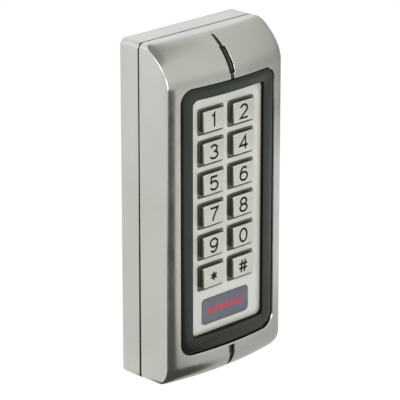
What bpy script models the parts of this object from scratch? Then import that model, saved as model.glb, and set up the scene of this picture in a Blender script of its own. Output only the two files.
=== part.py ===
"""RFID card reader with a twelve-key pad: a two-shell metal wall unit.

The origin is the centre of the face that lies against the wall. X runs across the
front, +Z is up, and the front looks along -Y. A depth is a distance out from the wall,
so a point at depth d lies at y = -d. Sizes below are in millimetres.
"""
import math

import bmesh
import bpy
from mathutils import Vector

MM = 0.001
GAP = 0.3                       # clearance between neighbouring pieces

# Overall outline and the two shells
WIDTH = 71.0
HEIGHT = 156.0
CORNER_R = 3.0
EDGE = 0.4                      # chamfer round the rear shell's outer edges
SHELL_WALL = 3.0
POCKET_R = 1.5
REAR_DEPTH = 11.2
SEAM = 0.5
BACK_WALL = 2.4
FRONT_START = REAR_DEPTH + SEAM
CLEAR = 40.0                    # a depth in front of everything, where cutters end
OVERSHOOT = 1.0                 # how far a cutter or a joined lug runs past a face

# Front surface: a side profile pushed forward by an arc across the width
RIDGE_DEPTH = 29.1              # depth where the flat side wall ends
CROWN = 4.6                     # how far the centre line stands out past the ridge
ROLL = 0.6                      # the part of the crown that rolls off beside the ridge
ROLL_W = 5.0
RIDGE_R = 0.6                   # rounding of the ridge
TOP_CURVE_START = 59.8          # height where the front begins to fall back to the top face
TOP_CURVE = 0.0414              # depth lost there per square millimetre of height
BOTTOM_ARC_R = 9.5

# Opening in the front and what lies in it
BEZEL_W = 57.3
BEZEL_TOP = 58.7
BEZEL_BOTTOM = -64.0
BEZEL_R = 6.0
BEZEL_OUTER_DROP = 0.35         # how far the bezel's face lies behind the shell, outer edge
BEZEL_INNER_DROP = 0.8          # and at its inner edge
WINDOW_W = 44.0
WINDOW_TOP = 53.2
WINDOW_BOTTOM = -56.8
WINDOW_R = 3.0
LEDGE = 3.0                     # how far the plate reaches behind the bezel
BEZEL_BACK = 24.7
BEZEL_FLANGE = 1.35
BEZEL_FLANGE_THICK = 1.5
PLATE_FACE = 29.4
PLATE_THICK = 1.2

# Keys
KEY_COLUMN_X = 9.3
KEY_TOP_ROW_Z = 42.2
KEY_PITCH_Z = 14.47
KEY_W = 12.7
KEY_H = 9.5
KEY_R = 0.7
KEY_RAISE = 2.2
KEY_EDGE = 0.2
KEY_TRAVEL = 1.0
APERTURE_W = 16.2
APERTURE_H = 11.9
APERTURE_R = 1.3
COLLAR_DROP = 0.55              # collar's face behind the plate's face
FLANGE_EXTRA = 0.6              # how far the key's flange reaches past the aperture
FLANGE_THICK = 1.0
KEY_NAMES = (("1", "2"), ("3", "4"), ("5", "6"), ("7", "8"), ("9", "0"), ("star", "hash"))

# Label under the keys
LABEL_W = 29.0
LABEL_TOP = -41.2
LABEL_BOTTOM = -53.1
LABEL_R = 1.8
LABEL_POCKET = 0.5
LABEL_THICK = 0.3

# Grooves on the centre line and the light window in the top one
GROOVE_W = 1.9
GROOVE_DEPTH = 1.15
LOW_GROOVE_W = 3.2
LOW_GROOVE_DEPTH = 1.9
LOW_GROOVE_END = -75.0
GROOVE_OVERLAP = 2.0            # how far a groove runs into the bezel's opening
GROOVE_PROUD = 3.0              # how far a groove's cutter stands out of the surface
LOW_GROOVE_PROUD = 1.2
LIGHT_W = 2.8
LIGHT_TOP = 72.4
LIGHT_BOTTOM = 62.2
LIGHT_DEPTH = 1.6
LIGHT_DROP = 0.12
LIGHT_STEM_TOP = 66.4
LIGHT_STEM_END = 24.3
LIGHT_STEM_FRONT = RIDGE_DEPTH + CROWN - LIGHT_DEPTH - 0.9

# Inside of the front shell
CAVITY_HALF_W = WIDTH / 2 - SHELL_WALL
CAVITY_FRONT = 26.5
CAVITY_OUTLINE = ((FRONT_START - 1, 75.0), (16.0, 75.0), (CAVITY_FRONT, 65.5),
                  (CAVITY_FRONT, -68.0), (20.0, -75.0), (FRONT_START - 1, -75.0))

# Circuit board
BOARD_BACK = 21.0
BOARD_THICK = 1.6
BOARD_W = 56.0
BOARD_R = 1.5
BOARD_TOP = 66.6
BOARD_BOTTOM = -71.2
BOARD_SCREWS = ((-22.0, 63.3), (22.0, 63.3), (-22.0, -68.3), (22.0, -68.3))
BOSS_R = 2.5
BOSS_HOLE_R = 1.4
SCREW_R = 1.0
SCREW_HEAD_R = 2.1
SCREW_HEAD = 1.5
SCREW_LENGTH = 6.0
SCREW_TOP_R = 1.5
SCREW_TIP = 0.4

# Fixing of the front shell to the rear one
HOOK_X = 20.0
HOOK_W = 8.0
HOOK_BACK = 6.8
HOOK_THICK = 1.5
HOOK_NIB = 1.2
NIB_RISE = 0.5                  # how far the nib reaches into the shell's top wall
NIB_HEIGHT = 1.6
HOOK_POCKET_H = 3.2
ROOT_DEPTH = 3.0                # depth over which a hook or lug joins the front shell
LUG_X = 18.0
LUG_W = 8.0
LUG_HEIGHT = 5.4
LUG_BACK = 3.2
CASE_SCREW_DEPTH = 6.4
CASE_SCREW_R = 1.5
CASE_SCREW_HEAD_R = 2.7
CASE_SCREW_HEAD = 1.8
CASE_SCREW_LENGTH = 7.5
CASE_SCREW_EDGE = 0.3
DRIVE_R = 1.2
DRIVE_DEPTH = 1.0

# Wall fixing and cable entry in the rear shell
SLOT_Z = (58.0, -52.0)
SLOT_R = 2.0
SLOT_LENGTH = 9.0
CABLE_Z = -20.0
CABLE_HOLE_R = 9.0
GROMMET_BORE_R = 4.2
GROMMET_FLANGE_R = 11.0
GROMMET_FLANGE = 1.4

# Seal in the seam
SEAL_W = 1.0
SEAL_DEPTH = 1.1
SEAL_INSET = 1.0                # from the shell's side to the seal

# Silicone mat, antenna and lamps on the front of the board
MAT_W = 38.0
MAT_MARGIN = 7.5                # past the centres of the first and last rows
MAT_R = 2.0
MAT_THICK = 1.0
DOME_R = (4.2, 3.0, 2.6)        # at the sheet, at the shoulder and on top
DOME_SHOULDER = 0.4
COIL_OUTER = (48.4, 55.0, -56.0, 5.0)   # width, top, bottom and corner radius
COIL_INNER = (41.4, 51.5, -52.5, 3.0)
COIL_THICK = 1.3
LAMP_SIZE = 1.1
LAMP_HEIGHT = 0.9
LAMP_PITCH = 1.5
LAMP_FIRST = 0.6                # from the stem's lower end to the first lamp's centre

# Components on the back of the board: x, z, width, height along the board, and depth
BLOCK_PARTS = {"relay": (-14.0, 34.0, 19.0, 15.5, 11.5),
               "controller_chip": (10.0, 18.0, 12.0, 12.0, 1.4),
               "reader_chip": (10.0, 0.0, 6.0, 9.0, 1.4),
               "voltage_regulator": (-16.0, 10.0, 6.5, 7.5, 2.3)}
CAPACITORS = ((-16.0, -6.0), (-16.0, -18.0))
CAPACITOR_SIZE = (4.0, 9.5, 0.6)        # radius, depth and the rounding of the far end
SENSOR_PLACE = (14.0, -20.0)
SENSOR_SIZE = (2.5, 2.4, 0.4)
BUZZER_PLACE = (14.0, 42.0)
BUZZER_SIZE = (6.0, 7.0, 0.4)
BUZZER_HOLE = (1.2, 1.5)                # radius and depth
TERMINAL_Z = -45.0
TERMINAL_WAYS = 8
TERMINAL_PITCH = 5.0
TERMINAL_SIZE = 9.0                     # along the board and in depth
WIRE_MOUTH = (3.2, 3.2, 6.0)            # across, in depth and along the board
WIRE_MOUTH_BACK = 7.6
CLAMP_WELL = (1.7, 1.2, 1.8)            # radius, depth and place above the block's centre

CORNER_STEPS = 4
CROWN_STEPS = 14
ROLL_STEPS = 3
RIDGE_TURNS = (40, 75)
ARC_STEPS = 10


# ---------------------------------------------------------------- helpers
def clear_scene():
    """Start from an empty scene."""
    for old in list(bpy.data.objects):
        bpy.data.objects.remove(old, do_unlink=True)


def material(name, colour, roughness, metallic=0.0):
    """A Principled material of one colour."""
    made = bpy.data.materials.new(name)
    made.use_nodes = True
    shader = made.node_tree.nodes["Principled BSDF"]
    shader.inputs["Base Color"].default_value = (*colour, 1.0)
    shader.inputs["Roughness"].default_value = roughness
    shader.inputs["Metallic"].default_value = metallic
    made.diffuse_color = (*colour, 1.0)
    return made


def place(x, depth, z):
    """The point in metres that lies at this depth from the wall."""
    return Vector((x * MM, -depth * MM, z * MM))


def finish(name, shape, look=None, angle=30):
    """Turn a bmesh into an object whose faces point out."""
    bmesh.ops.recalc_face_normals(shape, faces=shape.faces[:])
    mesh = bpy.data.meshes.new(name)
    shape.to_mesh(mesh)
    shape.free()
    mesh.shade_smooth()
    mesh.set_sharp_from_angle(angle=math.radians(angle))
    made = bpy.data.objects.new(name, mesh)
    bpy.context.scene.collection.objects.link(made)
    if look is not None:
        mesh.materials.append(look)
    return made


def rounded_outline(width, top, bottom, radius, side_steps=1):
    """Points (x, z) round a rectangle with rounded corners, counter-clockwise."""
    half = width / 2
    corners = ((half - radius, top - radius, 0), (-half + radius, top - radius, 90),
               (-half + radius, bottom + radius, 180), (half - radius, bottom + radius, 270))
    points = []
    for number, (cx, cz, start) in enumerate(corners):
        for step in range(CORNER_STEPS + 1):
            turn = math.radians(start + 90 * step / CORNER_STEPS)
            points.append((cx + radius * math.cos(turn), cz + radius * math.sin(turn)))
        if number % 2 == 0:
            run = (width - 2 * radius) / side_steps
            way = -1 if number == 0 else 1
            edge_x, edge_z = points[-1]
            points += [(edge_x + way * run * step, edge_z) for step in range(1, side_steps)]
    return points


def circle(cx, cz, radius, steps=24):
    """Points (x, z) round a circle, none of them straight above or beside its centre."""
    turns = [2 * math.pi * (step + 0.5) / steps for step in range(steps)]
    return [(cx + radius * math.cos(turn), cz + radius * math.sin(turn)) for turn in turns]


def slot_outline(cx, cz, radius, length, steps=8):
    """Points (x, z) round an upright slot."""
    reach = length / 2 - radius
    points = []
    for end, start in ((reach, 0), (-reach, 180)):
        for step in range(steps + 1):
            turn = math.radians(start + 180 * step / steps)
            points.append((cx + radius * math.cos(turn), cz + end + radius * math.sin(turn)))
    return points


def loft(rings, closed=False):
    """A bmesh through rings of equally many points; closed joins the last to the first."""
    shape = bmesh.new()
    loops = [[shape.verts.new(point) for point in ring] for ring in rings]
    count = len(loops[0])
    pairs = list(zip(loops, loops[1:]))
    if closed:
        pairs.append((loops[-1], loops[0]))
    else:
        shape.faces.new(loops[0])
        shape.faces.new(loops[-1])
    for first, second in pairs:
        for here in range(count):
            after = (here + 1) % count
            shape.faces.new((first[here], first[after], second[after], second[here]))
    return shape


def ring_at(outline, depth):
    """An outline (x, z) placed at one depth."""
    return [place(x, depth, z) for x, z in outline]


def prism(name, outline, back, front, look=None, angle=30):
    """A straight solid with an (x, z) outline between two depths."""
    return finish(name, loft([ring_at(outline, back), ring_at(outline, front)]), look, angle)


def side_prism(name, outline, left, right, look=None):
    """A straight solid with a (depth, z) outline between two places across the width."""
    rings = [[place(x, depth, z) for depth, z in outline] for x in (left, right)]
    return finish(name, loft(rings), look)


def upright_prism(name, outline, low, high):
    """A straight solid with an (x, depth) outline between two heights."""
    rings = [[place(x, depth, z) for x, depth in outline] for z in (low, high)]
    return finish(name, loft(rings))


def block(name, x, z, width, height, back, front, look=None):
    """A plain box centred on (x, z)."""
    left, right = x - width / 2, x + width / 2
    low, high = z - height / 2, z + height / 2
    outline = ((right, high), (left, high), (left, low), (right, low))
    return prism(name, outline, back, front, look)


def combine(target, tool, operation):
    """Add, keep or cut with another solid, which is then only a guide."""
    tool.hide_render = True
    tool.display_type = "WIRE"
    step = target.modifiers.new(f"{operation.title()} {tool.name}", "BOOLEAN")
    step.operation = operation
    step.solver = "EXACT"
    step.object = tool


def cut(target, tool):
    combine(target, tool, "DIFFERENCE")


def add(target, tool):
    combine(target, tool, "UNION")


# ---------------------------------------------------------------- the front surface
def crown(x):
    """How far the front stands out past the ridge at this place across the width."""
    half = WIDTH / 2
    rolled = max(abs(x) - (half - ROLL_W), 0) / ROLL_W
    rise = (CROWN - ROLL) * (1 - (x / half) ** 2) + ROLL * (1 - rolled ** 2)
    past = abs(x) - (half - RIDGE_R)
    if past > 0:
        rise -= RIDGE_R - math.sqrt(max(RIDGE_R ** 2 - past ** 2, 0))
    return rise


def profile():
    """Points (depth, z) down the ridge, from the top face to the bottom face."""
    half = HEIGHT / 2
    points = []
    for step in range(ARC_STEPS + 1):
        rise = (half - TOP_CURVE_START) * (1 - step / ARC_STEPS)
        points.append((RIDGE_DEPTH - TOP_CURVE * rise ** 2, TOP_CURVE_START + rise))
    centre = (RIDGE_DEPTH - BOTTOM_ARC_R, -half + BOTTOM_ARC_R)
    for step in range(ARC_STEPS + 1):
        turn = math.radians(-90 * step / ARC_STEPS)
        points.append((centre[0] + BOTTOM_ARC_R * math.cos(turn),
                       centre[1] + BOTTOM_ARC_R * math.sin(turn)))
    return points


def crown_stations():
    """Places across the width, closer together round the ridges."""
    half = WIDTH / 2
    broad = half - ROLL_W
    run = ROLL_W - RIDGE_R
    inner = [-broad + 2 * broad * step / CROWN_STEPS for step in range(CROWN_STEPS + 1)]
    edge = [broad + run * step / ROLL_STEPS for step in range(1, ROLL_STEPS + 1)]
    edge += [half - RIDGE_R + RIDGE_R * math.sin(math.radians(turn)) for turn in RIDGE_TURNS]
    return [-half] + [-x for x in reversed(edge)] + inner + edge + [half]


def centre_strip(first_z, last_z, near, far):
    """A (depth, z) outline along the centre line, between two drops below the surface."""
    half_way = [point for point in profile() if last_z < point[1] < first_z]
    ends = [(depth_on_profile(first_z), first_z)] + half_way + [(depth_on_profile(last_z), last_z)]
    outer = [(depth + CROWN - near, z) for depth, z in ends]
    inner = [(depth + CROWN - far, z) for depth, z in ends]
    return outer + inner[::-1]


def depth_on_profile(z):
    """Depth of the ridge at a height, read off the profile's own segments."""
    points = profile()
    for (depth_a, z_a), (depth_b, z_b) in zip(points, points[1:]):
        if z_b <= z <= z_a and z_a > z_b:
            return depth_a + (depth_b - depth_a) * (z_a - z) / (z_a - z_b)
    return points[0][0] if z > 0 else points[-1][0]


# ---------------------------------------------------------------- shells
def make_rear_housing(look):
    """Shallow box against the wall, with its slots, cable hole and seal groove."""
    half = HEIGHT / 2
    outer = rounded_outline(WIDTH, half, -half, CORNER_R)
    eased = rounded_outline(WIDTH - 2 * EDGE, half - EDGE, -half + EDGE, CORNER_R - EDGE)
    rings = [ring_at(eased, 0), ring_at(outer, EDGE), ring_at(outer, REAR_DEPTH - EDGE),
             ring_at(eased, REAR_DEPTH)]
    shell = finish("rear_housing", loft(rings), look)

    inner_top = half - SHELL_WALL
    pocket = rounded_outline(WIDTH - 2 * SHELL_WALL, inner_top, -inner_top, POCKET_R)
    cut(shell, prism("rear_pocket_tool", pocket, BACK_WALL, REAR_DEPTH + OVERSHOOT))
    cut(shell, seal_ring("seal_groove_tool", GAP, REAR_DEPTH - SEAL_DEPTH - GAP, REAR_DEPTH + OVERSHOOT))

    through = (-OVERSHOOT, BACK_WALL + OVERSHOOT)
    for number, z in enumerate(SLOT_Z, 1):
        slot = slot_outline(0, z, SLOT_R, SLOT_LENGTH)
        cut(shell, prism(f"wall_slot_tool_{number}", slot, *through))
    cut(shell, prism("cable_hole_tool", circle(0, CABLE_Z, CABLE_HOLE_R, 32), *through))

    for number, side in enumerate((-1, 1), 1):
        tool = block(f"hook_pocket_tool_{number}", side * HOOK_X, inner_top, HOOK_W + 2 * GAP,
                     HOOK_POCKET_H, HOOK_BACK - GAP, HOOK_BACK + HOOK_NIB + GAP)
        cut(shell, tool)
        hole = circle(side * LUG_X, CASE_SCREW_DEPTH, CASE_SCREW_R + GAP, 20)
        cut(shell, upright_prism(f"case_hole_tool_{number}", hole, -half - OVERSHOOT, -inner_top + OVERSHOOT))
        wide = circle(side * LUG_X, CASE_SCREW_DEPTH, CASE_SCREW_HEAD_R + GAP, 24)
        seat = -half + CASE_SCREW_HEAD + GAP
        cut(shell, upright_prism(f"case_seat_tool_{number}", wide, -half - OVERSHOOT, seat))
    return shell


def make_front_housing(look):
    """Crowned front shell with its opening, grooves, bosses, hooks and lugs."""
    half = HEIGHT / 2
    line = profile()
    rings = []
    for x in crown_stations():
        front = [place(x, depth + crown(x), z) for depth, z in line]
        rings.append(front + [place(x, FRONT_START, -half), place(x, FRONT_START, half)])
    shell = finish("front_housing", loft(rings), look)

    outline = rounded_outline(WIDTH, half, -half, CORNER_R)
    combine(shell, prism("front_outline_tool", outline, FRONT_START - OVERSHOOT, CLEAR), "INTERSECT")
    cut(shell, side_prism("cavity_tool", CAVITY_OUTLINE, -CAVITY_HALF_W, CAVITY_HALF_W))
    opening = rounded_outline(BEZEL_W + 2 * GAP, BEZEL_TOP + GAP, BEZEL_BOTTOM - GAP, BEZEL_R + GAP)
    cut(shell, prism("opening_tool", opening, CAVITY_FRONT - OVERSHOOT, CLEAR))
    cut_grooves(shell)
    cut_light_seat(shell)
    for number, (x, z) in enumerate(BOARD_SCREWS, 1):
        base = BOARD_BACK + BOARD_THICK + GAP
        boss = prism(f"boss_tool_{number}", circle(x, z, BOSS_R, 20), base, CAVITY_FRONT + OVERSHOOT)
        add(shell, boss)
        bore = circle(x, z, BOSS_HOLE_R, 16)
        cut(shell, prism(f"boss_hole_tool_{number}", bore, base - OVERSHOOT, CAVITY_FRONT))
    for number, side in enumerate((-1, 1), 1):
        add_hook(shell, number, side * HOOK_X)
        add_lug(shell, number, side * LUG_X)
    return shell


def cut_grooves(shell):
    """Narrow groove above the bezel and a wider one below it."""
    strip = centre_strip(HEIGHT / 2, BEZEL_TOP - GROOVE_OVERLAP, -GROOVE_PROUD, GROOVE_DEPTH)
    cut(shell, side_prism("top_groove_tool", strip, -GROOVE_W / 2, GROOVE_W / 2))
    strip = centre_strip(BEZEL_BOTTOM + GROOVE_OVERLAP, LOW_GROOVE_END, -LOW_GROOVE_PROUD, LOW_GROOVE_DEPTH)
    cut(shell, side_prism("low_groove_tool", strip, -LOW_GROOVE_W / 2, LOW_GROOVE_W / 2))


def cut_light_seat(shell):
    """Seat for the light window, with a way through to the board."""
    reach = LIGHT_W / 2 + GAP
    seat = centre_strip(LIGHT_TOP + GAP, LIGHT_BOTTOM - GAP, -GROOVE_PROUD, LIGHT_DEPTH + GAP)
    cut(shell, side_prism("light_seat_tool", seat, -reach, reach))
    middle = (LIGHT_BOTTOM + LIGHT_STEM_TOP) / 2
    height = LIGHT_STEM_TOP - LIGHT_BOTTOM + 2 * GAP
    cut(shell, block("light_stem_tool", 0, middle, 2 * reach, height,
                     CAVITY_FRONT - GROOVE_OVERLAP, RIDGE_DEPTH + CROWN))


def add_hook(shell, number, x):
    """Tongue with a nib that catches in the rear shell's top wall."""
    inner_top = HEIGHT / 2 - SHELL_WALL
    front = FRONT_START + ROOT_DEPTH
    tongue_z = inner_top - GAP - HOOK_THICK / 2
    add(shell, block(f"tongue_tool_{number}", x, tongue_z, HOOK_W, HOOK_THICK, HOOK_BACK, front))
    add(shell, block(f"tongue_root_tool_{number}", x, tongue_z + GAP, HOOK_W, HOOK_THICK + 2 * GAP,
                     FRONT_START, front))
    nib_z = inner_top + NIB_RISE - NIB_HEIGHT / 2
    add(shell, block(f"nib_tool_{number}", x, nib_z, HOOK_W, NIB_HEIGHT, HOOK_BACK, HOOK_BACK + HOOK_NIB))


def add_lug(shell, number, x):
    """Lug that takes one of the screws from below."""
    floor = -HEIGHT / 2 + SHELL_WALL
    front = FRONT_START + ROOT_DEPTH
    middle = floor + GAP + LUG_HEIGHT / 2
    add(shell, block(f"lug_tool_{number}", x, middle, LUG_W, LUG_HEIGHT, LUG_BACK, front))
    add(shell, block(f"lug_root_tool_{number}", x, floor + OVERSHOOT, LUG_W, ROOT_DEPTH, FRONT_START, front))
    bore = circle(x, CASE_SCREW_DEPTH, CASE_SCREW_R + GAP, 20)
    top = floor + GAP + LUG_HEIGHT + OVERSHOOT
    cut(shell, upright_prism(f"lug_hole_tool_{number}", bore, -HEIGHT / 2, top))


def seal_ring(name, extra, back, front, look=None):
    """The seal's ring between two depths, made wider by extra on both sides."""
    inset = SEAL_INSET - extra
    half = HEIGHT / 2 - inset
    width = WIDTH - 2 * inset
    thick = SEAL_W + 2 * extra
    outside = rounded_outline(width, half, -half, CORNER_R - inset)
    inside = rounded_outline(width - 2 * thick, half - thick, -half + thick, CORNER_R - inset - thick)
    rings = [ring_at(outside, back), ring_at(outside, front), ring_at(inside, front), ring_at(inside, back)]
    return finish(name, loft(rings, closed=True), look)


def make_seal(look):
    """Rubber ring in the rear shell's groove."""
    return seal_ring("seam_seal", 0, REAR_DEPTH - SEAL_DEPTH, FRONT_START - GAP, look)


def make_grommet(look):
    """Rubber bush in the cable hole, its flange inside the shell."""
    body = circle(0, CABLE_Z, CABLE_HOLE_R - GAP, 32)
    flange = circle(0, CABLE_Z, GROMMET_FLANGE_R, 32)
    bore = circle(0, CABLE_Z, GROMMET_BORE_R, 32)
    inside = BACK_WALL + GAP
    back = GAP
    rings = [ring_at(body, back), ring_at(body, inside), ring_at(flange, inside),
             ring_at(flange, inside + GROMMET_FLANGE), ring_at(bore, inside + GROMMET_FLANGE),
             ring_at(bore, back)]
    return finish("cable_grommet", loft(rings, closed=True), look)


def make_case_screw(number, side, look):
    """Socket-head security screw that goes up into one lug."""
    x = side * LUG_X
    low = -HEIGHT / 2
    steps = 24
    sockets = [hexagon_ring(x, CASE_SCREW_DEPTH, DRIVE_R, steps)] * 2
    rows = ((low + DRIVE_DEPTH, None), (low, None), (low, CASE_SCREW_HEAD_R - CASE_SCREW_EDGE),
            (low + CASE_SCREW_EDGE, CASE_SCREW_HEAD_R), (low + CASE_SCREW_HEAD, CASE_SCREW_HEAD_R),
            (low + CASE_SCREW_HEAD, CASE_SCREW_R), (low + CASE_SCREW_LENGTH, CASE_SCREW_R))
    outlines = sockets + [circle(x, CASE_SCREW_DEPTH, radius, steps) for z, radius in rows[2:]]
    rings = [[place(px, depth, z) for px, depth in outline] for outline, (z, radius) in zip(outlines, rows)]
    return finish(f"case_screw_{number}", loft(rings), look)


def hexagon_ring(cx, cz, radius, steps):
    """Points spread along a hexagon's sides, as many as a circle's."""
    per_side = steps // 6
    corners = circle(cx, cz, radius, 6)
    points = []
    for here, after in zip(corners, corners[1:] + corners[:1]):
        for step in range(per_side):
            share = step / per_side
            points.append((here[0] + (after[0] - here[0]) * share, here[1] + (after[1] - here[1]) * share))
    return points


# ---------------------------------------------------------------- the front's pieces
def crown_ring(outline, drop):
    """An outline laid on the crowned front, this far behind its surface."""
    return [place(x, RIDGE_DEPTH + crown(x) - drop, z) for x, z in outline]


def make_bezel(look):
    """Dark frame round the plate, with a flange behind the shell."""
    steps = CROWN_STEPS
    outer = rounded_outline(BEZEL_W, BEZEL_TOP, BEZEL_BOTTOM, BEZEL_R, steps)
    inner = rounded_outline(WINDOW_W, WINDOW_TOP, WINDOW_BOTTOM, WINDOW_R, steps)
    seat_reach = LEDGE + GAP
    seat = rounded_outline(WINDOW_W + 2 * seat_reach, WINDOW_TOP + seat_reach,
                           WINDOW_BOTTOM - seat_reach, WINDOW_R + 1.5, steps)
    flange = rounded_outline(BEZEL_W + 2 * BEZEL_FLANGE, BEZEL_TOP + BEZEL_FLANGE,
                             BEZEL_BOTTOM - BEZEL_FLANGE, BEZEL_R + 1, steps)
    step_depth = PLATE_FACE + GAP
    flange_front = BEZEL_BACK + BEZEL_FLANGE_THICK
    rings = [crown_ring(outer, BEZEL_OUTER_DROP), crown_ring(inner, BEZEL_INNER_DROP),
             ring_at(inner, step_depth), ring_at(seat, step_depth), ring_at(seat, BEZEL_BACK),
             ring_at(flange, BEZEL_BACK), ring_at(flange, flange_front), ring_at(outer, flange_front)]
    return finish("bezel_frame", loft(rings, closed=True), look)


def key_places():
    """Each key's name with its centre (x, z)."""
    found = []
    for row, names in enumerate(KEY_NAMES):
        z = KEY_TOP_ROW_Z - row * KEY_PITCH_Z
        found += [(f"key_{names[0]}", -KEY_COLUMN_X, z), (f"key_{names[1]}", KEY_COLUMN_X, z)]
    return found


def make_plate(look):
    """Flat metal plate with an aperture for each key and a pocket for the label."""
    outline = rounded_outline(WINDOW_W + 2 * LEDGE, WINDOW_TOP + LEDGE, WINDOW_BOTTOM - LEDGE, WINDOW_R + 1)
    back = PLATE_FACE - PLATE_THICK
    plate = prism("keypad_plate", outline, back, PLATE_FACE, look)
    hole = rounded_outline(APERTURE_W, APERTURE_H / 2, -APERTURE_H / 2, APERTURE_R)
    for name, x, z in key_places():
        moved = [(px + x, pz + z) for px, pz in hole]
        cut(plate, prism(f"{name}_aperture_tool", moved, back - OVERSHOOT, PLATE_FACE + OVERSHOOT))
    pocket = rounded_outline(LABEL_W + 2 * GAP, LABEL_TOP + GAP, LABEL_BOTTOM - GAP, LABEL_R + GAP)
    cut(plate, prism("label_pocket_tool", pocket, PLATE_FACE - LABEL_POCKET, PLATE_FACE + OVERSHOOT))
    return plate


def key_mesh():
    """One key about its own origin: flange behind the plate, collar and raised cap."""
    back = PLATE_FACE - PLATE_THICK - GAP - FLANGE_THICK
    face = PLATE_FACE + KEY_RAISE
    half_a = APERTURE_H / 2
    flange = rounded_outline(APERTURE_W + 2 * FLANGE_EXTRA, half_a + FLANGE_EXTRA,
                             -half_a - FLANGE_EXTRA, APERTURE_R)
    collar = rounded_outline(APERTURE_W - 2 * GAP, half_a - GAP, -half_a + GAP, APERTURE_R - GAP)
    cap = rounded_outline(KEY_W, KEY_H / 2, -KEY_H / 2, KEY_R)
    top = rounded_outline(KEY_W - 2 * KEY_EDGE, KEY_H / 2 - KEY_EDGE, -KEY_H / 2 + KEY_EDGE, KEY_R - KEY_EDGE)
    collar_face = PLATE_FACE - COLLAR_DROP
    levels = ((flange, back), (flange, back + FLANGE_THICK), (collar, back + FLANGE_THICK),
              (collar, collar_face), (cap, collar_face), (cap, face - KEY_EDGE), (top, face))
    return loft([ring_at(outline, depth) for outline, depth in levels])


def make_keys(look):
    """Twelve keys that share one mesh, each with its origin on its own slide axis."""
    first = None
    for name, x, z in key_places():
        if first is None:
            key = finish(name, key_mesh(), look)
            first = key
        else:
            key = bpy.data.objects.new(name, first.data)
            bpy.context.scene.collection.objects.link(key)
        key.location = place(x, 0, z)


def make_label(look):
    """Thin label in the plate's pocket."""
    outline = rounded_outline(LABEL_W, LABEL_TOP, LABEL_BOTTOM, LABEL_R)
    back = PLATE_FACE - LABEL_POCKET + GAP
    return prism("label", outline, back, back + LABEL_THICK, look)


def make_light_window(look):
    """Smoked lens in the top groove, with a stem that leads light up from the board."""
    strip = centre_strip(LIGHT_TOP, LIGHT_BOTTOM, LIGHT_DROP, LIGHT_DEPTH)
    lens = side_prism("light_window", strip, -LIGHT_W / 2, LIGHT_W / 2, look)
    middle = (LIGHT_BOTTOM + LIGHT_STEM_TOP) / 2
    add(lens, block("light_stem_guide", 0, middle, LIGHT_W, LIGHT_STEM_TOP - LIGHT_BOTTOM,
                    LIGHT_STEM_END, LIGHT_STEM_FRONT))
    return lens


# ---------------------------------------------------------------- inside
def make_key_mat(look):
    """Silicone sheet with a dome under each key."""
    base = BOARD_BACK + BOARD_THICK + GAP
    face = base + MAT_THICK
    places = key_places()
    top = places[0][2] + MAT_MARGIN
    bottom = places[-1][2] - MAT_MARGIN
    mat = prism("key_mat", rounded_outline(MAT_W, top, bottom, MAT_R), base, face, look)
    dome_top = PLATE_FACE - PLATE_THICK - GAP - FLANGE_THICK - KEY_TRAVEL - GAP
    foot, shoulder, crest = DOME_R
    rows = ((foot, base + MAT_THICK / 2), (foot, face), (shoulder, dome_top - DOME_SHOULDER),
            (crest, dome_top))
    for name, x, z in places:
        rings = [ring_at(circle(x, z, radius, 20), depth) for radius, depth in rows]
        add(mat, finish(f"{name}_dome_tool", loft(rings)))
    return mat


def make_board(look):
    """Circuit board across the front shell, on four bosses."""
    outline = rounded_outline(BOARD_W, BOARD_TOP, BOARD_BOTTOM, BOARD_R)
    board = prism("circuit_board", outline, BOARD_BACK, BOARD_BACK + BOARD_THICK, look)
    for number, (x, z) in enumerate(BOARD_SCREWS, 1):
        hole = circle(x, z, BOSS_HOLE_R, 16)
        cut(board, prism(f"board_hole_tool_{number}", hole, BOARD_BACK - OVERSHOOT,
                         BOARD_BACK + BOARD_THICK + OVERSHOOT))
    return board


def make_board_screw(number, x, z, look):
    """Pan-head screw through the board into its boss."""
    back = BOARD_BACK - GAP - SCREW_HEAD
    tip = back + SCREW_LENGTH
    rows = ((SCREW_TOP_R, back), (SCREW_HEAD_R, back + SCREW_HEAD_R - SCREW_TOP_R),
            (SCREW_HEAD_R, back + SCREW_HEAD), (SCREW_R, back + SCREW_HEAD),
            (SCREW_R, tip - SCREW_TIP), (SCREW_R - SCREW_TIP, tip))
    rings = [ring_at(circle(x, z, radius, 16), depth) for radius, depth in rows]
    return finish(f"board_screw_{number}", loft(rings), look)


def make_antenna(look):
    """Flat wound antenna loop round the key mat."""
    base = BOARD_BACK + BOARD_THICK + GAP
    outside = rounded_outline(*COIL_OUTER)
    inside = rounded_outline(*COIL_INNER)
    rings = [ring_at(outside, base), ring_at(outside, base + COIL_THICK),
             ring_at(inside, base + COIL_THICK), ring_at(inside, base)]
    return finish("antenna_coil", loft(rings, closed=True), look)


def make_status_lights(looks):
    """Three small lamps on the board under the lens's stem."""
    base = BOARD_BACK + BOARD_THICK + GAP
    for step, (colour, look) in enumerate(looks.items()):
        z = LIGHT_BOTTOM + LAMP_FIRST + LAMP_PITCH * step
        block(f"status_led_{colour}", 0, z, LAMP_SIZE, LAMP_SIZE, base, base + LAMP_HEIGHT, look)


def make_board_parts(looks):
    """Components on the side of the board that faces the wall."""
    face = BOARD_BACK - GAP
    for name, (x, z, width, height, depth) in BLOCK_PARTS.items():
        block(name, x, z, width, height, face - depth, face, looks[name])
    for number, where in enumerate(CAPACITORS, 1):
        make_can(f"capacitor_{number}", where, CAPACITOR_SIZE, face, looks["capacitor"])
    make_can("tamper_light_sensor", SENSOR_PLACE, SENSOR_SIZE, face, looks["sensor"])
    make_can("buzzer", BUZZER_PLACE, BUZZER_SIZE, face, looks["buzzer"], BUZZER_HOLE)
    make_terminal_block(face, looks["terminal"])


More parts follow.
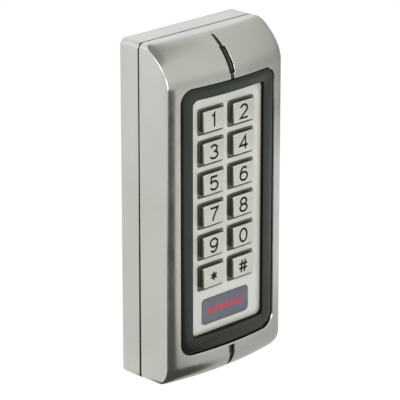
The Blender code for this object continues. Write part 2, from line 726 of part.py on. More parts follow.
def make_can(name, where, size, face, look, hole=None):
    """Round component with an eased far end and, where asked, a blind hole in it."""
    radius, depth, ease = size
    rows = [(radius, face), (radius, face - depth + ease), (radius - ease, face - depth)]
    if hole is not None:
        rows += [(hole[0], face - depth), (hole[0], face - depth + hole[1])]
    rings = [ring_at(circle(*where, row_radius, 24), row_depth) for row_radius, row_depth in rows]
    return finish(name, loft(rings), look)


def make_terminal_block(face, look):
    """Row of screw terminals for the wires that come in from the wall."""
    back = face - TERMINAL_SIZE
    width = TERMINAL_WAYS * TERMINAL_PITCH + OVERSHOOT
    body = block("terminal_block", 0, TERMINAL_Z, width, TERMINAL_SIZE, back, face, look)
    mouth_w, mouth_depth, mouth_run = WIRE_MOUTH
    well_r, well_depth, well_rise = CLAMP_WELL
    mouth_back = face - WIRE_MOUTH_BACK
    mouth_z = TERMINAL_Z - TERMINAL_SIZE / 2 + mouth_run / 2 - 2 * OVERSHOOT
    for way in range(TERMINAL_WAYS):
        x = (way - (TERMINAL_WAYS - 1) / 2) * TERMINAL_PITCH
        cut(body, block(f"wire_mouth_tool_{way + 1}", x, mouth_z, mouth_w, mouth_run,
                        mouth_back, mouth_back + mouth_depth))
        well = circle(x, TERMINAL_Z + well_rise, well_r, 12)
        cut(body, prism(f"clamp_well_tool_{way + 1}", well, back - OVERSHOOT, back + well_depth))
    return body


def main():
    clear_scene()
    satin = material("satin_nickel", (0.60, 0.60, 0.56), 0.32, 1.0)
    plate_metal = material("brushed_plate", (0.66, 0.66, 0.62), 0.35, 1.0)
    key_metal = material("key_metal", (0.64, 0.64, 0.60), 0.30, 1.0)
    dark = material("dark_bezel", (0.035, 0.042, 0.038), 0.38)
    rubber = material("black_rubber", (0.02, 0.02, 0.02), 0.75)
    silicone = material("grey_silicone", (0.25, 0.25, 0.26), 0.7)
    steel = material("screw_steel", (0.55, 0.55, 0.55), 0.3, 1.0)
    fibre = material("circuit_green", (0.02, 0.12, 0.05), 0.45)
    copper = material("antenna_copper", (0.72, 0.36, 0.20), 0.35, 1.0)
    smoked = material("smoked_lens", (0.02, 0.02, 0.022), 0.08)
    slate = material("label_slate", (0.16, 0.165, 0.20), 0.45)
    lights = {"red": material("lamp_red", (0.5, 0.02, 0.02), 0.3),
              "amber": material("lamp_amber", (0.6, 0.3, 0.02), 0.3),
              "green": material("lamp_green", (0.02, 0.4, 0.06), 0.3)}
    moulded = material("chip_black", (0.02, 0.02, 0.022), 0.5)
    board_looks = {"relay": material("relay_case", (0.03, 0.06, 0.16), 0.4),
                   "controller_chip": moulded,
                   "reader_chip": moulded,
                   "voltage_regulator": moulded,
                   "capacitor": material("capacitor_can", (0.5, 0.5, 0.52), 0.3, 1.0),
                   "buzzer": material("buzzer_black", (0.015, 0.015, 0.015), 0.45),
                   "terminal": material("terminal_green", (0.03, 0.22, 0.09), 0.45),
                   "sensor": material("sensor_clear", (0.55, 0.35, 0.2), 0.3)}

    make_rear_housing(satin)
    make_front_housing(satin)
    make_seal(rubber)
    make_grommet(rubber)
    for number, side in enumerate((-1, 1), 1):
        make_case_screw(number, side, steel)
    make_bezel(dark)
    make_plate(plate_metal)
    make_keys(key_metal)
    make_label(slate)
    make_light_window(smoked)
    make_key_mat(silicone)
    make_board(fibre)
    for number, (x, z) in enumerate(BOARD_SCREWS, 1):
        make_board_screw(number, x, z, steel)
    make_antenna(copper)
    make_status_lights(lights)
    make_board_parts(board_looks)


main()
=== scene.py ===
"""Looks of the RFID card reader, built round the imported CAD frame.

Sizes are in millimetres and follow the CAD source: the origin is the centre of the face
against the wall, X runs across the front, +Z is up and a depth d lies at y = -d.
"""

import math

import bmesh
import bpy
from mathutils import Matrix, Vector


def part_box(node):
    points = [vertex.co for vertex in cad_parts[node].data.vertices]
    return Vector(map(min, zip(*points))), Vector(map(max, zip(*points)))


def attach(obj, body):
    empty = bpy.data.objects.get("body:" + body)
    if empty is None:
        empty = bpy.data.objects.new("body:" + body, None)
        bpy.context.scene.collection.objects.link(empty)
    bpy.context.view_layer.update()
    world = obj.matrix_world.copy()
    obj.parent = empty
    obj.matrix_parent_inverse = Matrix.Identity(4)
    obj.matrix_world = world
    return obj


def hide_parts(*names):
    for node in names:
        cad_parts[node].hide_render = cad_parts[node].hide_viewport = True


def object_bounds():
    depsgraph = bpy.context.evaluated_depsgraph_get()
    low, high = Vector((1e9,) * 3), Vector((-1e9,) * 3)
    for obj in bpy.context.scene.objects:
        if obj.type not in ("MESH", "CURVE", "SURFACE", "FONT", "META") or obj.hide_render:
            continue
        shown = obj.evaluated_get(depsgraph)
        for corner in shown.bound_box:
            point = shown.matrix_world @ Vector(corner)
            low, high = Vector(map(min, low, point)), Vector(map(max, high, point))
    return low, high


MM = 0.001
GAP = 0.3

# Outline and front surface, as in the CAD except where a note says otherwise
HALF_W = 35.5
HALF_H = 78.0
CORNER_R = 3.0
SHELL_WALL = 3.0
POCKET_R = 1.5
REAR_DEPTH = 11.2
BACK_WALL = 2.4
FRONT_START = 11.7
SIDE_RING = 15.7  # depth of a ring of points on the front shell's sides
CLEAR = 40.0  # past the front of everything
OVERSHOOT = 1.0  # how far a cutter reaches past the face that it cuts
RIDGE_DEPTH = 29.1
CROWN = 4.6
ROLL = 0.6
ROLL_W = 5.0
RIDGE_R = 0.8  # 0.6 in the CAD
TOP_CURVE_START = 59.8
TOP_CURVE = 0.0414
TOP_RIM_START = 75.0  # where the front begins to round over into the top face
TOP_RIM = 0.14
BOTTOM_ARC_R = 9.5
BOTTOM_ARC_Z = -HALF_H + BOTTOM_ARC_R
SEAM_SHADE = 0.2  # reach of the painted shade at the seam onto each shell's edge
SHELL_EDGE = 0.45  # rounding of both shells beside the seam
WALL_FLARE = 0.3  # opening out of the holes in the back wall
WALL_GROWTH = WALL_FLARE + OVERSHOOT

# Opening, bezel and plate
BEZEL = (57.3, 58.7, -64.0, 6.0)  # width, top, bottom and corner radius
WINDOW = (44.0, 53.2, -56.8, 3.0)
BEZEL_DROPS = (0.5, 0.75)
BEZEL_FACE = ((0.14, 0.35), (0.3, 0.3), (0.5, 0.34), (0.7, 0.46), (0.88, 0.62))  # share, drop
BEZEL_LOW_SLOPE = 0.13  # how steeply the lower strip falls back
BEZEL_EDGE = 0.25
BEZEL_SHADE_RINGS = 3  # matt black rings of faces at its outer edge: painted shade of the gap round it
OPENING_FLARE = 0.4
LEDGE = 3.0
BEZEL_BACK = 24.7
BEZEL_FLANGE = 1.35
BEZEL_FLANGE_THICK = 1.5
PLATE_FACE = 29.4
PLATE_THICK = 1.2
PLATE_EDGE = 0.18
POCKET_EDGE = 0.12

# Keys
KEY_W = 12.7
KEY_H = 9.5
KEY_R = 0.7
KEY_RAISE = 2.2
KEY_FACE = PLATE_FACE + KEY_RAISE
KEY_EDGE = 0.32
APERTURE = (16.4, 5.8, -6.35, 1.3)
COLLAR_DROP = 0.55
COLLAR_EDGE = 0.15
CAP_FOOT = 0.25  # fillet between the collar and the cap
FLANGE_EXTRA = 0.6
FLANGE_THICK = 1.0

# Label
LABEL = (29.0, -41.2, -53.1, 1.8)
LABEL_POCKET = 0.5
LABEL_THICK = 0.3
LABEL_FACE = PLATE_FACE - LABEL_POCKET + GAP + LABEL_THICK
LABEL_EDGE = 0.1
BARS = 12
BAR_PITCH = 1.9
BAR_HALF_W = 0.55
BAR_HALF_H = 1.25
BAR_LEAN = 0.45

# Grooves and light window
GROOVE_CORNERS = ((0.93, 0.72), (0.66, 0.94))  # shares of half the width and of the depth
GROOVE_W = 2.1  # 1.9 in the CAD
GROOVE_DEPTH = 1.15
GROOVE_START = (HALF_H - 1.0, 0.6, 0.1)  # height, share of the width, depth
GROOVE_RUN = 1.8  # length over which the top groove deepens
LOW_GROOVE_W = 3.2
LOW_GROOVE_DEPTH = 1.9
LOW_GROOVE_BRIDGE = 1.0  # metal left between the bezel and the low groove
LOW_GROOVE_END = -75.5
LOW_GROOVE_RUN = 6.0  # length over which the low groove runs out
LOW_GROOVE_LEAST = (0.25, 0.06)  # shares of its width and depth at the end
LOW_GROOVE_EASE = (0.7, 0.8)  # powers by which they run out
LOW_GROOVE_PROUD = 1.2  # how far its cutter stands out of the surface
TOP_LIP = 0.08
LOW_LIP = 0.4
LIP_LEAST = 0.3  # share of a lip left where its groove runs out
SEAT_LIP = 0.16
SEAT_LIP_LEAST = 0.03
GROOVE_REACH = (2.1, 3.2)  # the painted shade stays this near the centre line and the surface
SHADE_LEAST = (0.11, 0.3)  # and starts this deep in the top and the low groove
SHADE_TOP = HALF_H - 1.4
WALL_TILT = 0.3  # a face of the low groove that leans more than this is a wall
LIGHT_W = 2.8
LIGHT_TOP = 72.4
LIGHT_BOTTOM = 62.2
LIGHT_DEPTH = 1.6
LIGHT_DROP = 0.12
LIGHT_DOME = 0.45
LIGHT_ARC = 0.94  # how much of a half circle the dome is
LIGHT_STEPS = 6  # facets on each half of the dome
LIGHT_ENDS = ((0.22, 0.1), (0.07, 0.02))  # drop and narrowing of its last sections
LENS_STREAK = (0.0, 0.45, 1.2)  # left, right and end gap of the lens's paler strip, a painted highlight
LIGHT_STEM_TOP = 66.4
LIGHT_STEM_MIDDLE = (LIGHT_BOTTOM + LIGHT_STEM_TOP) / 2
LIGHT_STEM_END = 24.3
STEM_OVERLAP = 0.9
SHY = 0.02  # keeps the faces of two joined solids out of one plane

# Inside of the shells
CAVITY_HALF_W = HALF_W - SHELL_WALL
CAVITY_FRONT = 26.5
CAVITY_OUTLINE = ((FRONT_START - 1, 75.0), (16.0, 75.0), (CAVITY_FRONT, 65.5),
                  (CAVITY_FRONT, -68.0), (20.0, -75.0), (FRONT_START - 1, -75.0))
BOARD_FRONT = 22.6
BOARD_SCREWS = ((-22.0, 63.3), (22.0, 63.3), (-22.0, -68.3), (22.0, -68.3))
BOSS_R = 2.5
BOSS_HOLE_R = 1.4
HOOK_X = 20.0
HOOK_W = 8.0
HOOK_BACK = 6.8
HOOK_THICK = 1.5
HOOK_NIB = 1.2
NIB_RISE = 0.5
NIB_HEIGHT = 1.6
HOOK_POCKET_H = 3.2
ROOT_DEPTH = 3.0
LUG_X = 18.0
LUG_W = 8.0
LUG_HEIGHT = 5.4
LUG_BACK = 3.2
CASE_SCREW_DEPTH = 6.4
CASE_SCREW_R = 1.5
CASE_SCREW_HEAD_R = 2.7
CASE_SCREW_HEAD = 1.8
SLOT_Z = (58.0, -52.0)
SLOT_R = 2.0
SLOT_LENGTH = 9.0
CABLE_Z = -20.0
CABLE_HOLE_R = 9.0
SEAL_W = 1.0
SEAL_DEPTH = 1.1
SEAL_INSET = 1.0

# How finely the surfaces are divided
CORNER_STEPS = 10
SIDE_STEPS = 36
ACROSS_STEPS = 40
CURVE_STEPS = 16
FLAT_STEPS = 40
ARC_STEPS = 8
EDGE_INSETS = (0.0, 0.03, 0.1, 0.2, 0.33, 0.47, 0.6, 0.9, 1.3, 1.9, 2.5, 3.0)
ROLL_INSETS = (3.6, 4.3, 5.0)
ROUND_STEPS = 4

# Key legends: strokes about the key's centre
STROKE = 1.0
LEGEND_H = 2.98  # half the height of a digit, to the middle of the stroke
STAR_R = 1.95
LEGEND_SINK = 0.06
LEGEND_PROUD = 0.03

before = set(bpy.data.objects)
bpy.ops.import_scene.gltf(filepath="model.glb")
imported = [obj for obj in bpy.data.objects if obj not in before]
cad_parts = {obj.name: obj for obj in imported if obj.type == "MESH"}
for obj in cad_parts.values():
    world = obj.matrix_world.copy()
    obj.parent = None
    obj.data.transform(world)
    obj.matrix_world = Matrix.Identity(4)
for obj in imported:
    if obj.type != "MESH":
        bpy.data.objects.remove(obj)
CAD_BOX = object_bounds()


# ---- mesh helpers
def place(x, depth, z):
    """The point in metres that lies at this depth from the wall."""
    return Vector((x * MM, -depth * MM, z * MM))


def linked(name, data):
    """A new object in the scene."""
    made = bpy.data.objects.new(name, data)
    bpy.context.scene.collection.objects.link(made)
    return made


def to_object(name, shape):
    """Turn a bmesh into an object."""
    mesh = bpy.data.meshes.new(name)
    shape.to_mesh(mesh)
    shape.free()
    return linked(name, mesh)


def finish(name, shape, angle=30):
    """Turn a bmesh into a smoothly shaded object whose faces point out."""
    bmesh.ops.recalc_face_normals(shape, faces=shape.faces[:])
    made = to_object(name, shape)
    soften(made, angle)
    return made


def soften(made, angle):
    """Shade smooth between faces that meet at less than this angle."""
    made.data.shade_smooth()
    made.data.set_sharp_from_angle(angle=math.radians(angle))


def arc(cx, cz, rx, rz, start, end, steps=20):
    """Points (x, z) along part of an ellipse."""
    turns = [math.radians(start + (end - start) * step / steps) for step in range(steps + 1)]
    return [(cx + rx * math.cos(turn), cz + rz * math.sin(turn)) for turn in turns]


def rounded_outline(width, top, bottom, radius, side_steps=1, corner_steps=CORNER_STEPS):
    """Points (x, z) round a rectangle with rounded corners."""
    half = width / 2
    corners = ((half - radius, top - radius, 0), (-half + radius, top - radius, 90),
               (-half + radius, bottom + radius, 180), (half - radius, bottom + radius, 270))
    points = []
    for number, (cx, cz, start) in enumerate(corners):
        points += arc(cx, cz, radius, radius, start, start + 90, corner_steps)
        if number % 2 == 0:
            run = (number - 1) * (width - 2 * radius) / side_steps
            edge_x, edge_z = points[-1]
            points += [(edge_x + run * step, edge_z) for step in range(1, side_steps)]
    return points


def grown_size(size, by):
    """A (width, top, bottom, radius) size made larger by this much all round."""
    width, top, bottom, radius = size
    return width + 2 * by, top + by, bottom - by, max(radius + by, 0.05)


def grown(size, by, side_steps=1, corner_steps=CORNER_STEPS):
    """The outline of such a size made larger by this much all round."""
    return rounded_outline(*grown_size(size, by), side_steps, corner_steps)


def circle(cx, cz, radius, steps=32):
    """Points (x, z) round a circle."""
    turns = [2 * math.pi * (step + 0.5) / steps for step in range(steps)]
    return [(cx + radius * math.cos(turn), cz + radius * math.sin(turn)) for turn in turns]


def slot_outline(cx, cz, radius, length):
    """Points (x, z) round an upright slot."""
    reach = length / 2 - radius
    return (arc(cx, cz + reach, radius, radius, 0, 180, 12)
            + arc(cx, cz - reach, radius, radius, 180, 360, 12))


def band(shape, first, second):
    """Faces between two loops of equally many points."""
    for here in range(len(first)):
        after = (here + 1) % len(first)
        shape.faces.new((first[here], first[after], second[after], second[here]))


def loft(rings, closed=False, shape=None):
    """A bmesh through rings of equally many points; closed joins the last to the first."""
    shape = shape or bmesh.new()
    loops = [[shape.verts.new(point) for point in ring] for ring in rings]
    pairs = list(zip(loops, loops[1:]))
    if closed:
        pairs.append((loops[-1], loops[0]))
    else:
        shape.faces.new(loops[0])
        shape.faces.new(loops[-1])
    for first, second in pairs:
        band(shape, first, second)
    return shape


def ring_at(outline, depth):
    """An outline (x, z) placed at one depth."""
    return [place(x, depth, z) for x, z in outline]


def moved(outline, x, z):
    """An outline drawn about the origin, moved to (x, z)."""
    return [(px + x, pz + z) for px, pz in outline]


def prism(name, outline, start, end, lay=lambda x, z, depth: place(x, depth, z)):
    """A straight solid from an (x, z) outline between two depths; lay turns it another way."""
    return finish(name, loft([[lay(*point, level) for point in outline] for level in (start, end)]))


def block(name, x, z, width, height, back, front):
    """A plain box centred on (x, z)."""
    left, right = x - width / 2, x + width / 2
    low, high = z - height / 2, z + height / 2
    return prism(name, ((right, high), (left, high), (left, low), (right, low)), back, front)


def combine(target, tool, operation):
    """Queue a Boolean with another solid."""
    step = target.modifiers.new(tool.name, "BOOLEAN")
    step.operation = operation
    step.solver = "EXACT"
    step.object = tool


def cut(target, tool):
    combine(target, tool, "DIFFERENCE")


def add(target, tool):
    combine(target, tool, "UNION")


def settle(target, angle=30):
    """Apply the queued Booleans and delete their tools."""
    tools = [step.object for step in target.modifiers]
    bpy.context.view_layer.update()
    depsgraph = bpy.context.evaluated_depsgraph_get()
    mesh = bpy.data.meshes.new_from_object(target.evaluated_get(depsgraph), depsgraph=depsgraph)
    target.modifiers.clear()
    mesh.name = target.name
    target.data = mesh
    for tool in tools:
        bpy.data.objects.remove(tool, do_unlink=True)
    soften(target, angle)
    return target


def middle_of(polygon):
    """A face's centre as x, depth and z."""
    x, y, z = polygon.center
    return x / MM, -y / MM, z / MM


def eased(least, share):
    """From least at share 0 to 1 at share 1."""
    return least + (1 - least) * share


def quarter(radius, steps=ROUND_STEPS):
    """(inset, rise) pairs round a quarter circle, from the side to the face."""
    turns = [math.radians(90 * step / steps) for step in range(steps + 1)]
    return [(radius * (1 - math.cos(turn)), radius * math.sin(turn)) for turn in turns]


# ---- the front surface
def crown(x):
    """How far the front stands out past the ridge at this x."""
    rolled = max(abs(x) - (HALF_W - ROLL_W), 0) / ROLL_W
    return (CROWN - ROLL) * (1 - (x / HALF_W) ** 2) + ROLL * (1 - rolled ** 2)


def ridge_line(z):
    """Depth of the ridge at a height."""
    if z > TOP_CURVE_START:
        return RIDGE_DEPTH - TOP_CURVE * (z - TOP_CURVE_START) ** 2
    if z < BOTTOM_ARC_Z:
        reach = min(BOTTOM_ARC_Z - z, BOTTOM_ARC_R)
        return RIDGE_DEPTH - BOTTOM_ARC_R + math.sqrt(BOTTOM_ARC_R ** 2 - reach ** 2)
    return RIDGE_DEPTH


def top_rim(x, z):
    """How far the front falls back where it rounds over into the top face."""
    return TOP_RIM * max(z - TOP_RIM_START, 0) ** 2 * (1 - min(abs(x) / HALF_W, 1) ** 3)


def edge_drop(inset):
    """How far the ridge's rounding lowers the front this close to the rim."""
    past = max(RIDGE_R - inset, 0)
    return RIDGE_R - math.sqrt(RIDGE_R ** 2 - past ** 2)


def to_outline(x, z, inset=0.0):
    """Where a point of the plain rectangle goes to give it rounded corners."""
    a = abs(x) - (HALF_W - CORNER_R)
    b = abs(z) - (HALF_H - CORNER_R)
    if a > 0 and b > 0:
        share = (max(a, b) - inset) / math.hypot(a, b)
        return (math.copysign(HALF_W - CORNER_R + a * share, x),
                math.copysign(HALF_H - CORNER_R + b * share, z))
    if HALF_W - abs(x) < HALF_H - abs(z):
        return math.copysign(abs(x) - inset, x), z
    return x, math.copysign(abs(z) - inset, z)


def across():
    """Stations across the width."""
    insets = EDGE_INSETS + ROLL_INSETS
    left = [-HALF_W + inset for inset in insets]
    broad = -left[-1]
    middle = [-broad + 2 * broad * step / ACROSS_STEPS for step in range(1, ACROSS_STEPS)]
    return left + middle + [-x for x in reversed(left)]


def down():
    """Stations down the height, closer together where the front curves."""
    top = [HALF_H - inset for inset in EDGE_INSETS]
    fall = TOP_CURVE_START - top[-1]
    curve = [top[-1] + fall * step / CURVE_STEPS for step in range(1, CURVE_STEPS + 1)]
    run = TOP_CURVE_START - BOTTOM_ARC_Z
    flat = [TOP_CURVE_START - run * step / FLAT_STEPS for step in range(1, FLAT_STEPS + 1)]
    end = math.asin((HALF_H - EDGE_INSETS[-1] + BOTTOM_ARC_Z) / BOTTOM_ARC_R)
    low = [BOTTOM_ARC_Z - BOTTOM_ARC_R * math.sin(end * step / ARC_STEPS)
           for step in range(1, ARC_STEPS)]
    bottom = [-HALF_H + inset for inset in reversed(EDGE_INSETS)]
    return top + curve + flat + low + bottom


def front_body():
    """The front shell as one solid lump, before the cuts."""
    xs, zs = across(), down()
    shape = bmesh.new()
    grid = []
    for z in zs:
        row = []
        for x in xs:
            px, pz = to_outline(x, z)
            inset = min(HALF_W - abs(x), HALF_H - abs(z))
            depth = ridge_line(pz) + crown(px) - edge_drop(inset) - top_rim(px, pz)
            row.append(shape.verts.new(place(px, depth, pz)))
        grid.append(row)
    for upper, lower in zip(grid, grid[1:]):
        for here in range(len(xs) - 1):
            shape.faces.new((upper[here], lower[here], lower[here + 1], upper[here + 1]))

    last_x, last_z = len(xs) - 1, len(zs) - 1
    rim = [(0, step) for step in range(last_x)] + [(step, last_x) for step in range(last_z)]
    rim += [(last_z, last_x - step) for step in range(last_x)]
    rim += [(last_z - step, 0) for step in range(last_z)]
    loop = [grid[row][column] for row, column in rim]
    levels = [(0.0, SIDE_RING)]
    levels += [(inset, FRONT_START + SHELL_EDGE - rise) for inset, rise in quarter(SHELL_EDGE)]
    for inset, depth in levels:
        outline = [to_outline(xs[column], zs[row], inset) for row, column in rim]
        ring = [shape.verts.new(point) for point in ring_at(outline, depth)]
        band(shape, loop, ring)
        loop = ring
    shape.faces.new(loop)
    return finish("front_housing_shell", shape)


def crown_ring(outline, drop, slope=0.0):
    """An outline laid this far behind the crowned front, and sloping back under the window."""
    return [place(x, RIDGE_DEPTH + crown(x) - drop - slope * max(WINDOW[2] - z, 0), z)
            for x, z in outline]


def centre_depth(z):
    """Depth of the surface on the centre line."""
    return ridge_line(z) + CROWN - top_rim(0, z)


def spine(first_z, last_z, step=0.8):
    """Stations (depth, z, and the surface's normal as depth and z) down the centre line."""
    near = 0.05
    count = max(int(abs(first_z - last_z) / step), 2)
    found = []
    for number in range(count + 1):
        z = first_z + (last_z - first_z) * number / count
        lean = math.atan((centre_depth(z - near) - centre_depth(z + near)) / (2 * near))
        found.append((centre_depth(z), z, math.cos(lean), math.sin(lean)))
    return found


def channel(name, stations, sections):
    """A solid along the centre line, with its own (x, drop) section at each station."""
    rings = []
    for (depth, z, out, up), section in zip(stations, sections):
        rings.append([place(x, depth - out * drop, z - up * drop) for x, drop in section])
    return finish(name, loft(rings))


def groove_section(width, depth, lip, proud=3.0):
    """Section (x, drop) of a groove with a rounded floor and eased edges."""
    half = width / 2
    left = [(-half - lip - proud, -proud), (-half - lip, 0.0), (-half, lip)]
    left += [(-half * aside, depth * deep) for aside, deep in GROOVE_CORNERS]
    return left + [(0.0, depth)] + [(-x, drop) for x, drop in reversed(left)]


# ---- shells
def make_front_shell():
    """Crowned front shell with its opening, grooves, bosses, hooks and lugs."""
    shell = front_body()
    cut(shell, prism("cavity_tool", CAVITY_OUTLINE, -CAVITY_HALF_W, CAVITY_HALF_W,
                     lambda depth, z, x: place(x, depth, z)))
    near = grown(BEZEL, GAP, SIDE_STEPS)
    far = grown(BEZEL, GAP + OPENING_FLARE + OVERSHOOT, SIDE_STEPS)
    rings = [ring_at(near, CAVITY_FRONT - OVERSHOOT), crown_ring(near, OPENING_FLARE),
             crown_ring(far, -OVERSHOOT), ring_at(far, CLEAR)]
    cut(shell, finish("opening_tool", loft(rings)))

    cut_grooves(shell)
    cut_light_seat(shell)

    for x, z in BOARD_SCREWS:
        base = BOARD_FRONT + GAP
        add(shell, prism("boss_tool", circle(x, z, BOSS_R), base, CAVITY_FRONT + OVERSHOOT))
        hole = circle(x, z, BOSS_HOLE_R, 24)
        cut(shell, prism("boss_hole_tool", hole, base - OVERSHOOT, CAVITY_FRONT))
    for side in (-1, 1):
        add_hook(shell, side * HOOK_X)
        add_lug(shell, side * LUG_X)
    return settle(shell, 25)


def cut_grooves(shell):
    """The grooves above and below the opening."""
    start, width_least, depth_least = GROOVE_START
    upper = spine(HALF_H + 0.7, BEZEL[1] - 2.0)
    sections = []
    for _, z, _, _ in upper:
        share = min(max((start - z) / GROOVE_RUN, 0), 1)
        depth = depth_least + (GROOVE_DEPTH - depth_least) * share
        sections.append(groove_section(GROOVE_W * eased(width_least, share), depth,
                                       TOP_LIP * eased(LIP_LEAST, share)))
    cut(shell, channel("top_groove_tool", upper, sections))

    width_least, depth_least = LOW_GROOVE_LEAST
    width_ease, depth_ease = LOW_GROOVE_EASE
    lower = spine(BEZEL[2] - LOW_GROOVE_BRIDGE, LOW_GROOVE_END)
    sections = []
    for _, z, _, _ in lower:
        share = min((z - LOW_GROOVE_END) / LOW_GROOVE_RUN, 1)
        sections.append(groove_section(LOW_GROOVE_W * eased(width_least, share ** width_ease),
                                       LOW_GROOVE_DEPTH * max(share ** depth_ease, depth_least),
                                       LOW_LIP * eased(LIP_LEAST, share), LOW_GROOVE_PROUD))
    cut(shell, channel("low_groove_tool", lower, sections))


def cut_light_seat(shell):
    """The seat of the light window and the slot for its stem."""
    reach = LIGHT_W / 2 + GAP
    seat = spine(LIGHT_TOP + GAP, LIGHT_BOTTOM - GAP)
    proud = 3.0
    sections = []
    for number in range(len(seat)):
        lip = SEAT_LIP_LEAST + SEAT_LIP * math.sin(math.pi * number / len(seat)) ** 3
        half = [(reach + lip + proud, -proud), (reach + lip, 0.0), (reach, lip),
                (reach, LIGHT_DEPTH + GAP)]
        sections.append([(-x, drop) for x, drop in half] + half[::-1])
    cut(shell, channel("light_seat_tool", seat, sections))
    height = LIGHT_STEM_TOP - LIGHT_BOTTOM + 2 * GAP
    cut(shell, block("light_stem_tool", 0, LIGHT_STEM_MIDDLE, 2 * reach - SHY, height,
                     CAVITY_FRONT - OVERSHOOT, RIDGE_DEPTH + CROWN - LIGHT_DEPTH))


def paint_shell(shell, seam):
    """Painted shade in the grooves and the light's seat, and on the edge at the seam."""
    aside, deepest = GROOVE_REACH
    for polygon in shell.data.polygons:
        x, depth, z = middle_of(polygon)
        sunk = centre_depth(z) - depth
        above = BEZEL[1] + GAP < z < SHADE_TOP and sunk > SHADE_LEAST[0]
        wall = abs(polygon.normal.x) > WALL_TILT
        below = z < BEZEL[2] - GAP and sunk > SHADE_LEAST[1] and wall
        groove = abs(x) < aside and sunk < deepest and (above or below)
        if groove or abs(depth - seam) < SEAM_SHADE:
            polygon.material_index = 1


def add_hook(shell, x):
    """Tongue with a nib that catches in the rear shell's top wall."""
    inner_top = HALF_H - SHELL_WALL
    front = FRONT_START + ROOT_DEPTH
    tongue_z = inner_top - GAP - HOOK_THICK / 2
    add(shell, block("tongue_tool", x, tongue_z, HOOK_W, HOOK_THICK, HOOK_BACK, front))
    add(shell, block("tongue_root_tool", x, tongue_z + GAP, HOOK_W, HOOK_THICK + 2 * GAP,
                     FRONT_START, front))
    nib_z = inner_top + NIB_RISE - NIB_HEIGHT / 2
    add(shell, block("nib_tool", x, nib_z, HOOK_W, NIB_HEIGHT, HOOK_BACK, HOOK_BACK + HOOK_NIB))


def add_lug(shell, x):
    """Lug that takes one of the screws from below."""
    floor = -HALF_H + SHELL_WALL
    front = FRONT_START + ROOT_DEPTH
    top = floor + GAP + LUG_HEIGHT
    add(shell, block("lug_tool", x, top - LUG_HEIGHT / 2, LUG_W, LUG_HEIGHT, LUG_BACK, front))
    add(shell, block("lug_root_tool", x, floor + OVERSHOOT, LUG_W, ROOT_DEPTH, FRONT_START, front))
    bore = circle(x, CASE_SCREW_DEPTH, CASE_SCREW_R + GAP, 24)
    cut(shell, prism("lug_hole_tool", bore, -HALF_H, top + OVERSHOOT, place))


def make_rear_shell():
    """Shallow box against the wall with slots, cable hole and seal groove."""
    size = (2 * HALF_W, HALF_H, -HALF_H, CORNER_R)
    easing = quarter(SHELL_EDGE)
    rings = [ring_at(grown(size, -inset), SHELL_EDGE - rise) for inset, rise in reversed(easing)]
    rings += [ring_at(grown(size, -inset), REAR_DEPTH - SHELL_EDGE + rise)
              for inset, rise in easing]
    shell = finish("rear_housing_shell", loft(rings))
    inner_top = HALF_H - SHELL_WALL
    pocket = rounded_outline(2 * (HALF_W - SHELL_WALL), inner_top, -inner_top, POCKET_R)
    cut(shell, prism("pocket_tool", pocket, BACK_WALL, REAR_DEPTH + OVERSHOOT))
    cut(shell, seal_ring("seal_tool", GAP, REAR_DEPTH - SEAL_DEPTH - GAP, REAR_DEPTH + OVERSHOOT))
    for z in SLOT_Z:
        cut(shell, flared("slot_tool", slot_outline(0, z, SLOT_R, SLOT_LENGTH),
                          slot_outline(0, z, SLOT_R + WALL_GROWTH, SLOT_LENGTH + 2 * WALL_GROWTH)))
    cut(shell, flared("cable_hole_tool", circle(0, CABLE_Z, CABLE_HOLE_R, 48),
                      circle(0, CABLE_Z, CABLE_HOLE_R + WALL_GROWTH, 48)))
    for side in (-1, 1):
        cut(shell, block("hook_pocket_tool", side * HOOK_X, inner_top, HOOK_W + 2 * GAP,
                         HOOK_POCKET_H, HOOK_BACK - GAP, HOOK_BACK + HOOK_NIB + GAP))
        hole = circle(side * LUG_X, CASE_SCREW_DEPTH, CASE_SCREW_R + GAP, 24)
        below = -HALF_H - OVERSHOOT
        cut(shell, prism("case_hole_tool", hole, below, -inner_top + OVERSHOOT, place))
        wide = circle(side * LUG_X, CASE_SCREW_DEPTH, CASE_SCREW_HEAD_R + GAP)
        cut(shell, prism("case_seat_tool", wide, below, -HALF_H + CASE_SCREW_HEAD + GAP, place))
    return settle(shell, 25)


def flared(name, near, wide):
    """A cutter through the back wall that opens out at the wall's face."""
    rings = [ring_at(wide, -OVERSHOOT), ring_at(near, WALL_FLARE),
             ring_at(near, BACK_WALL + OVERSHOOT)]
    return finish(name, loft(rings))


def seal_ring(name, extra, back, front):
    """The seal's ring between two depths, made wider by extra on both sides."""
    inset = SEAL_INSET - extra
    outside = (2 * (HALF_W - inset), HALF_H - inset, -HALF_H + inset, CORNER_R - inset)
    outer = grown(outside, 0)
    inner = grown(outside, -(SEAL_W + 2 * extra))
    levels = ((outer, back), (outer, front), (inner, front), (inner, back))
    return finish(name, loft([ring_at(*level) for level in levels], closed=True))


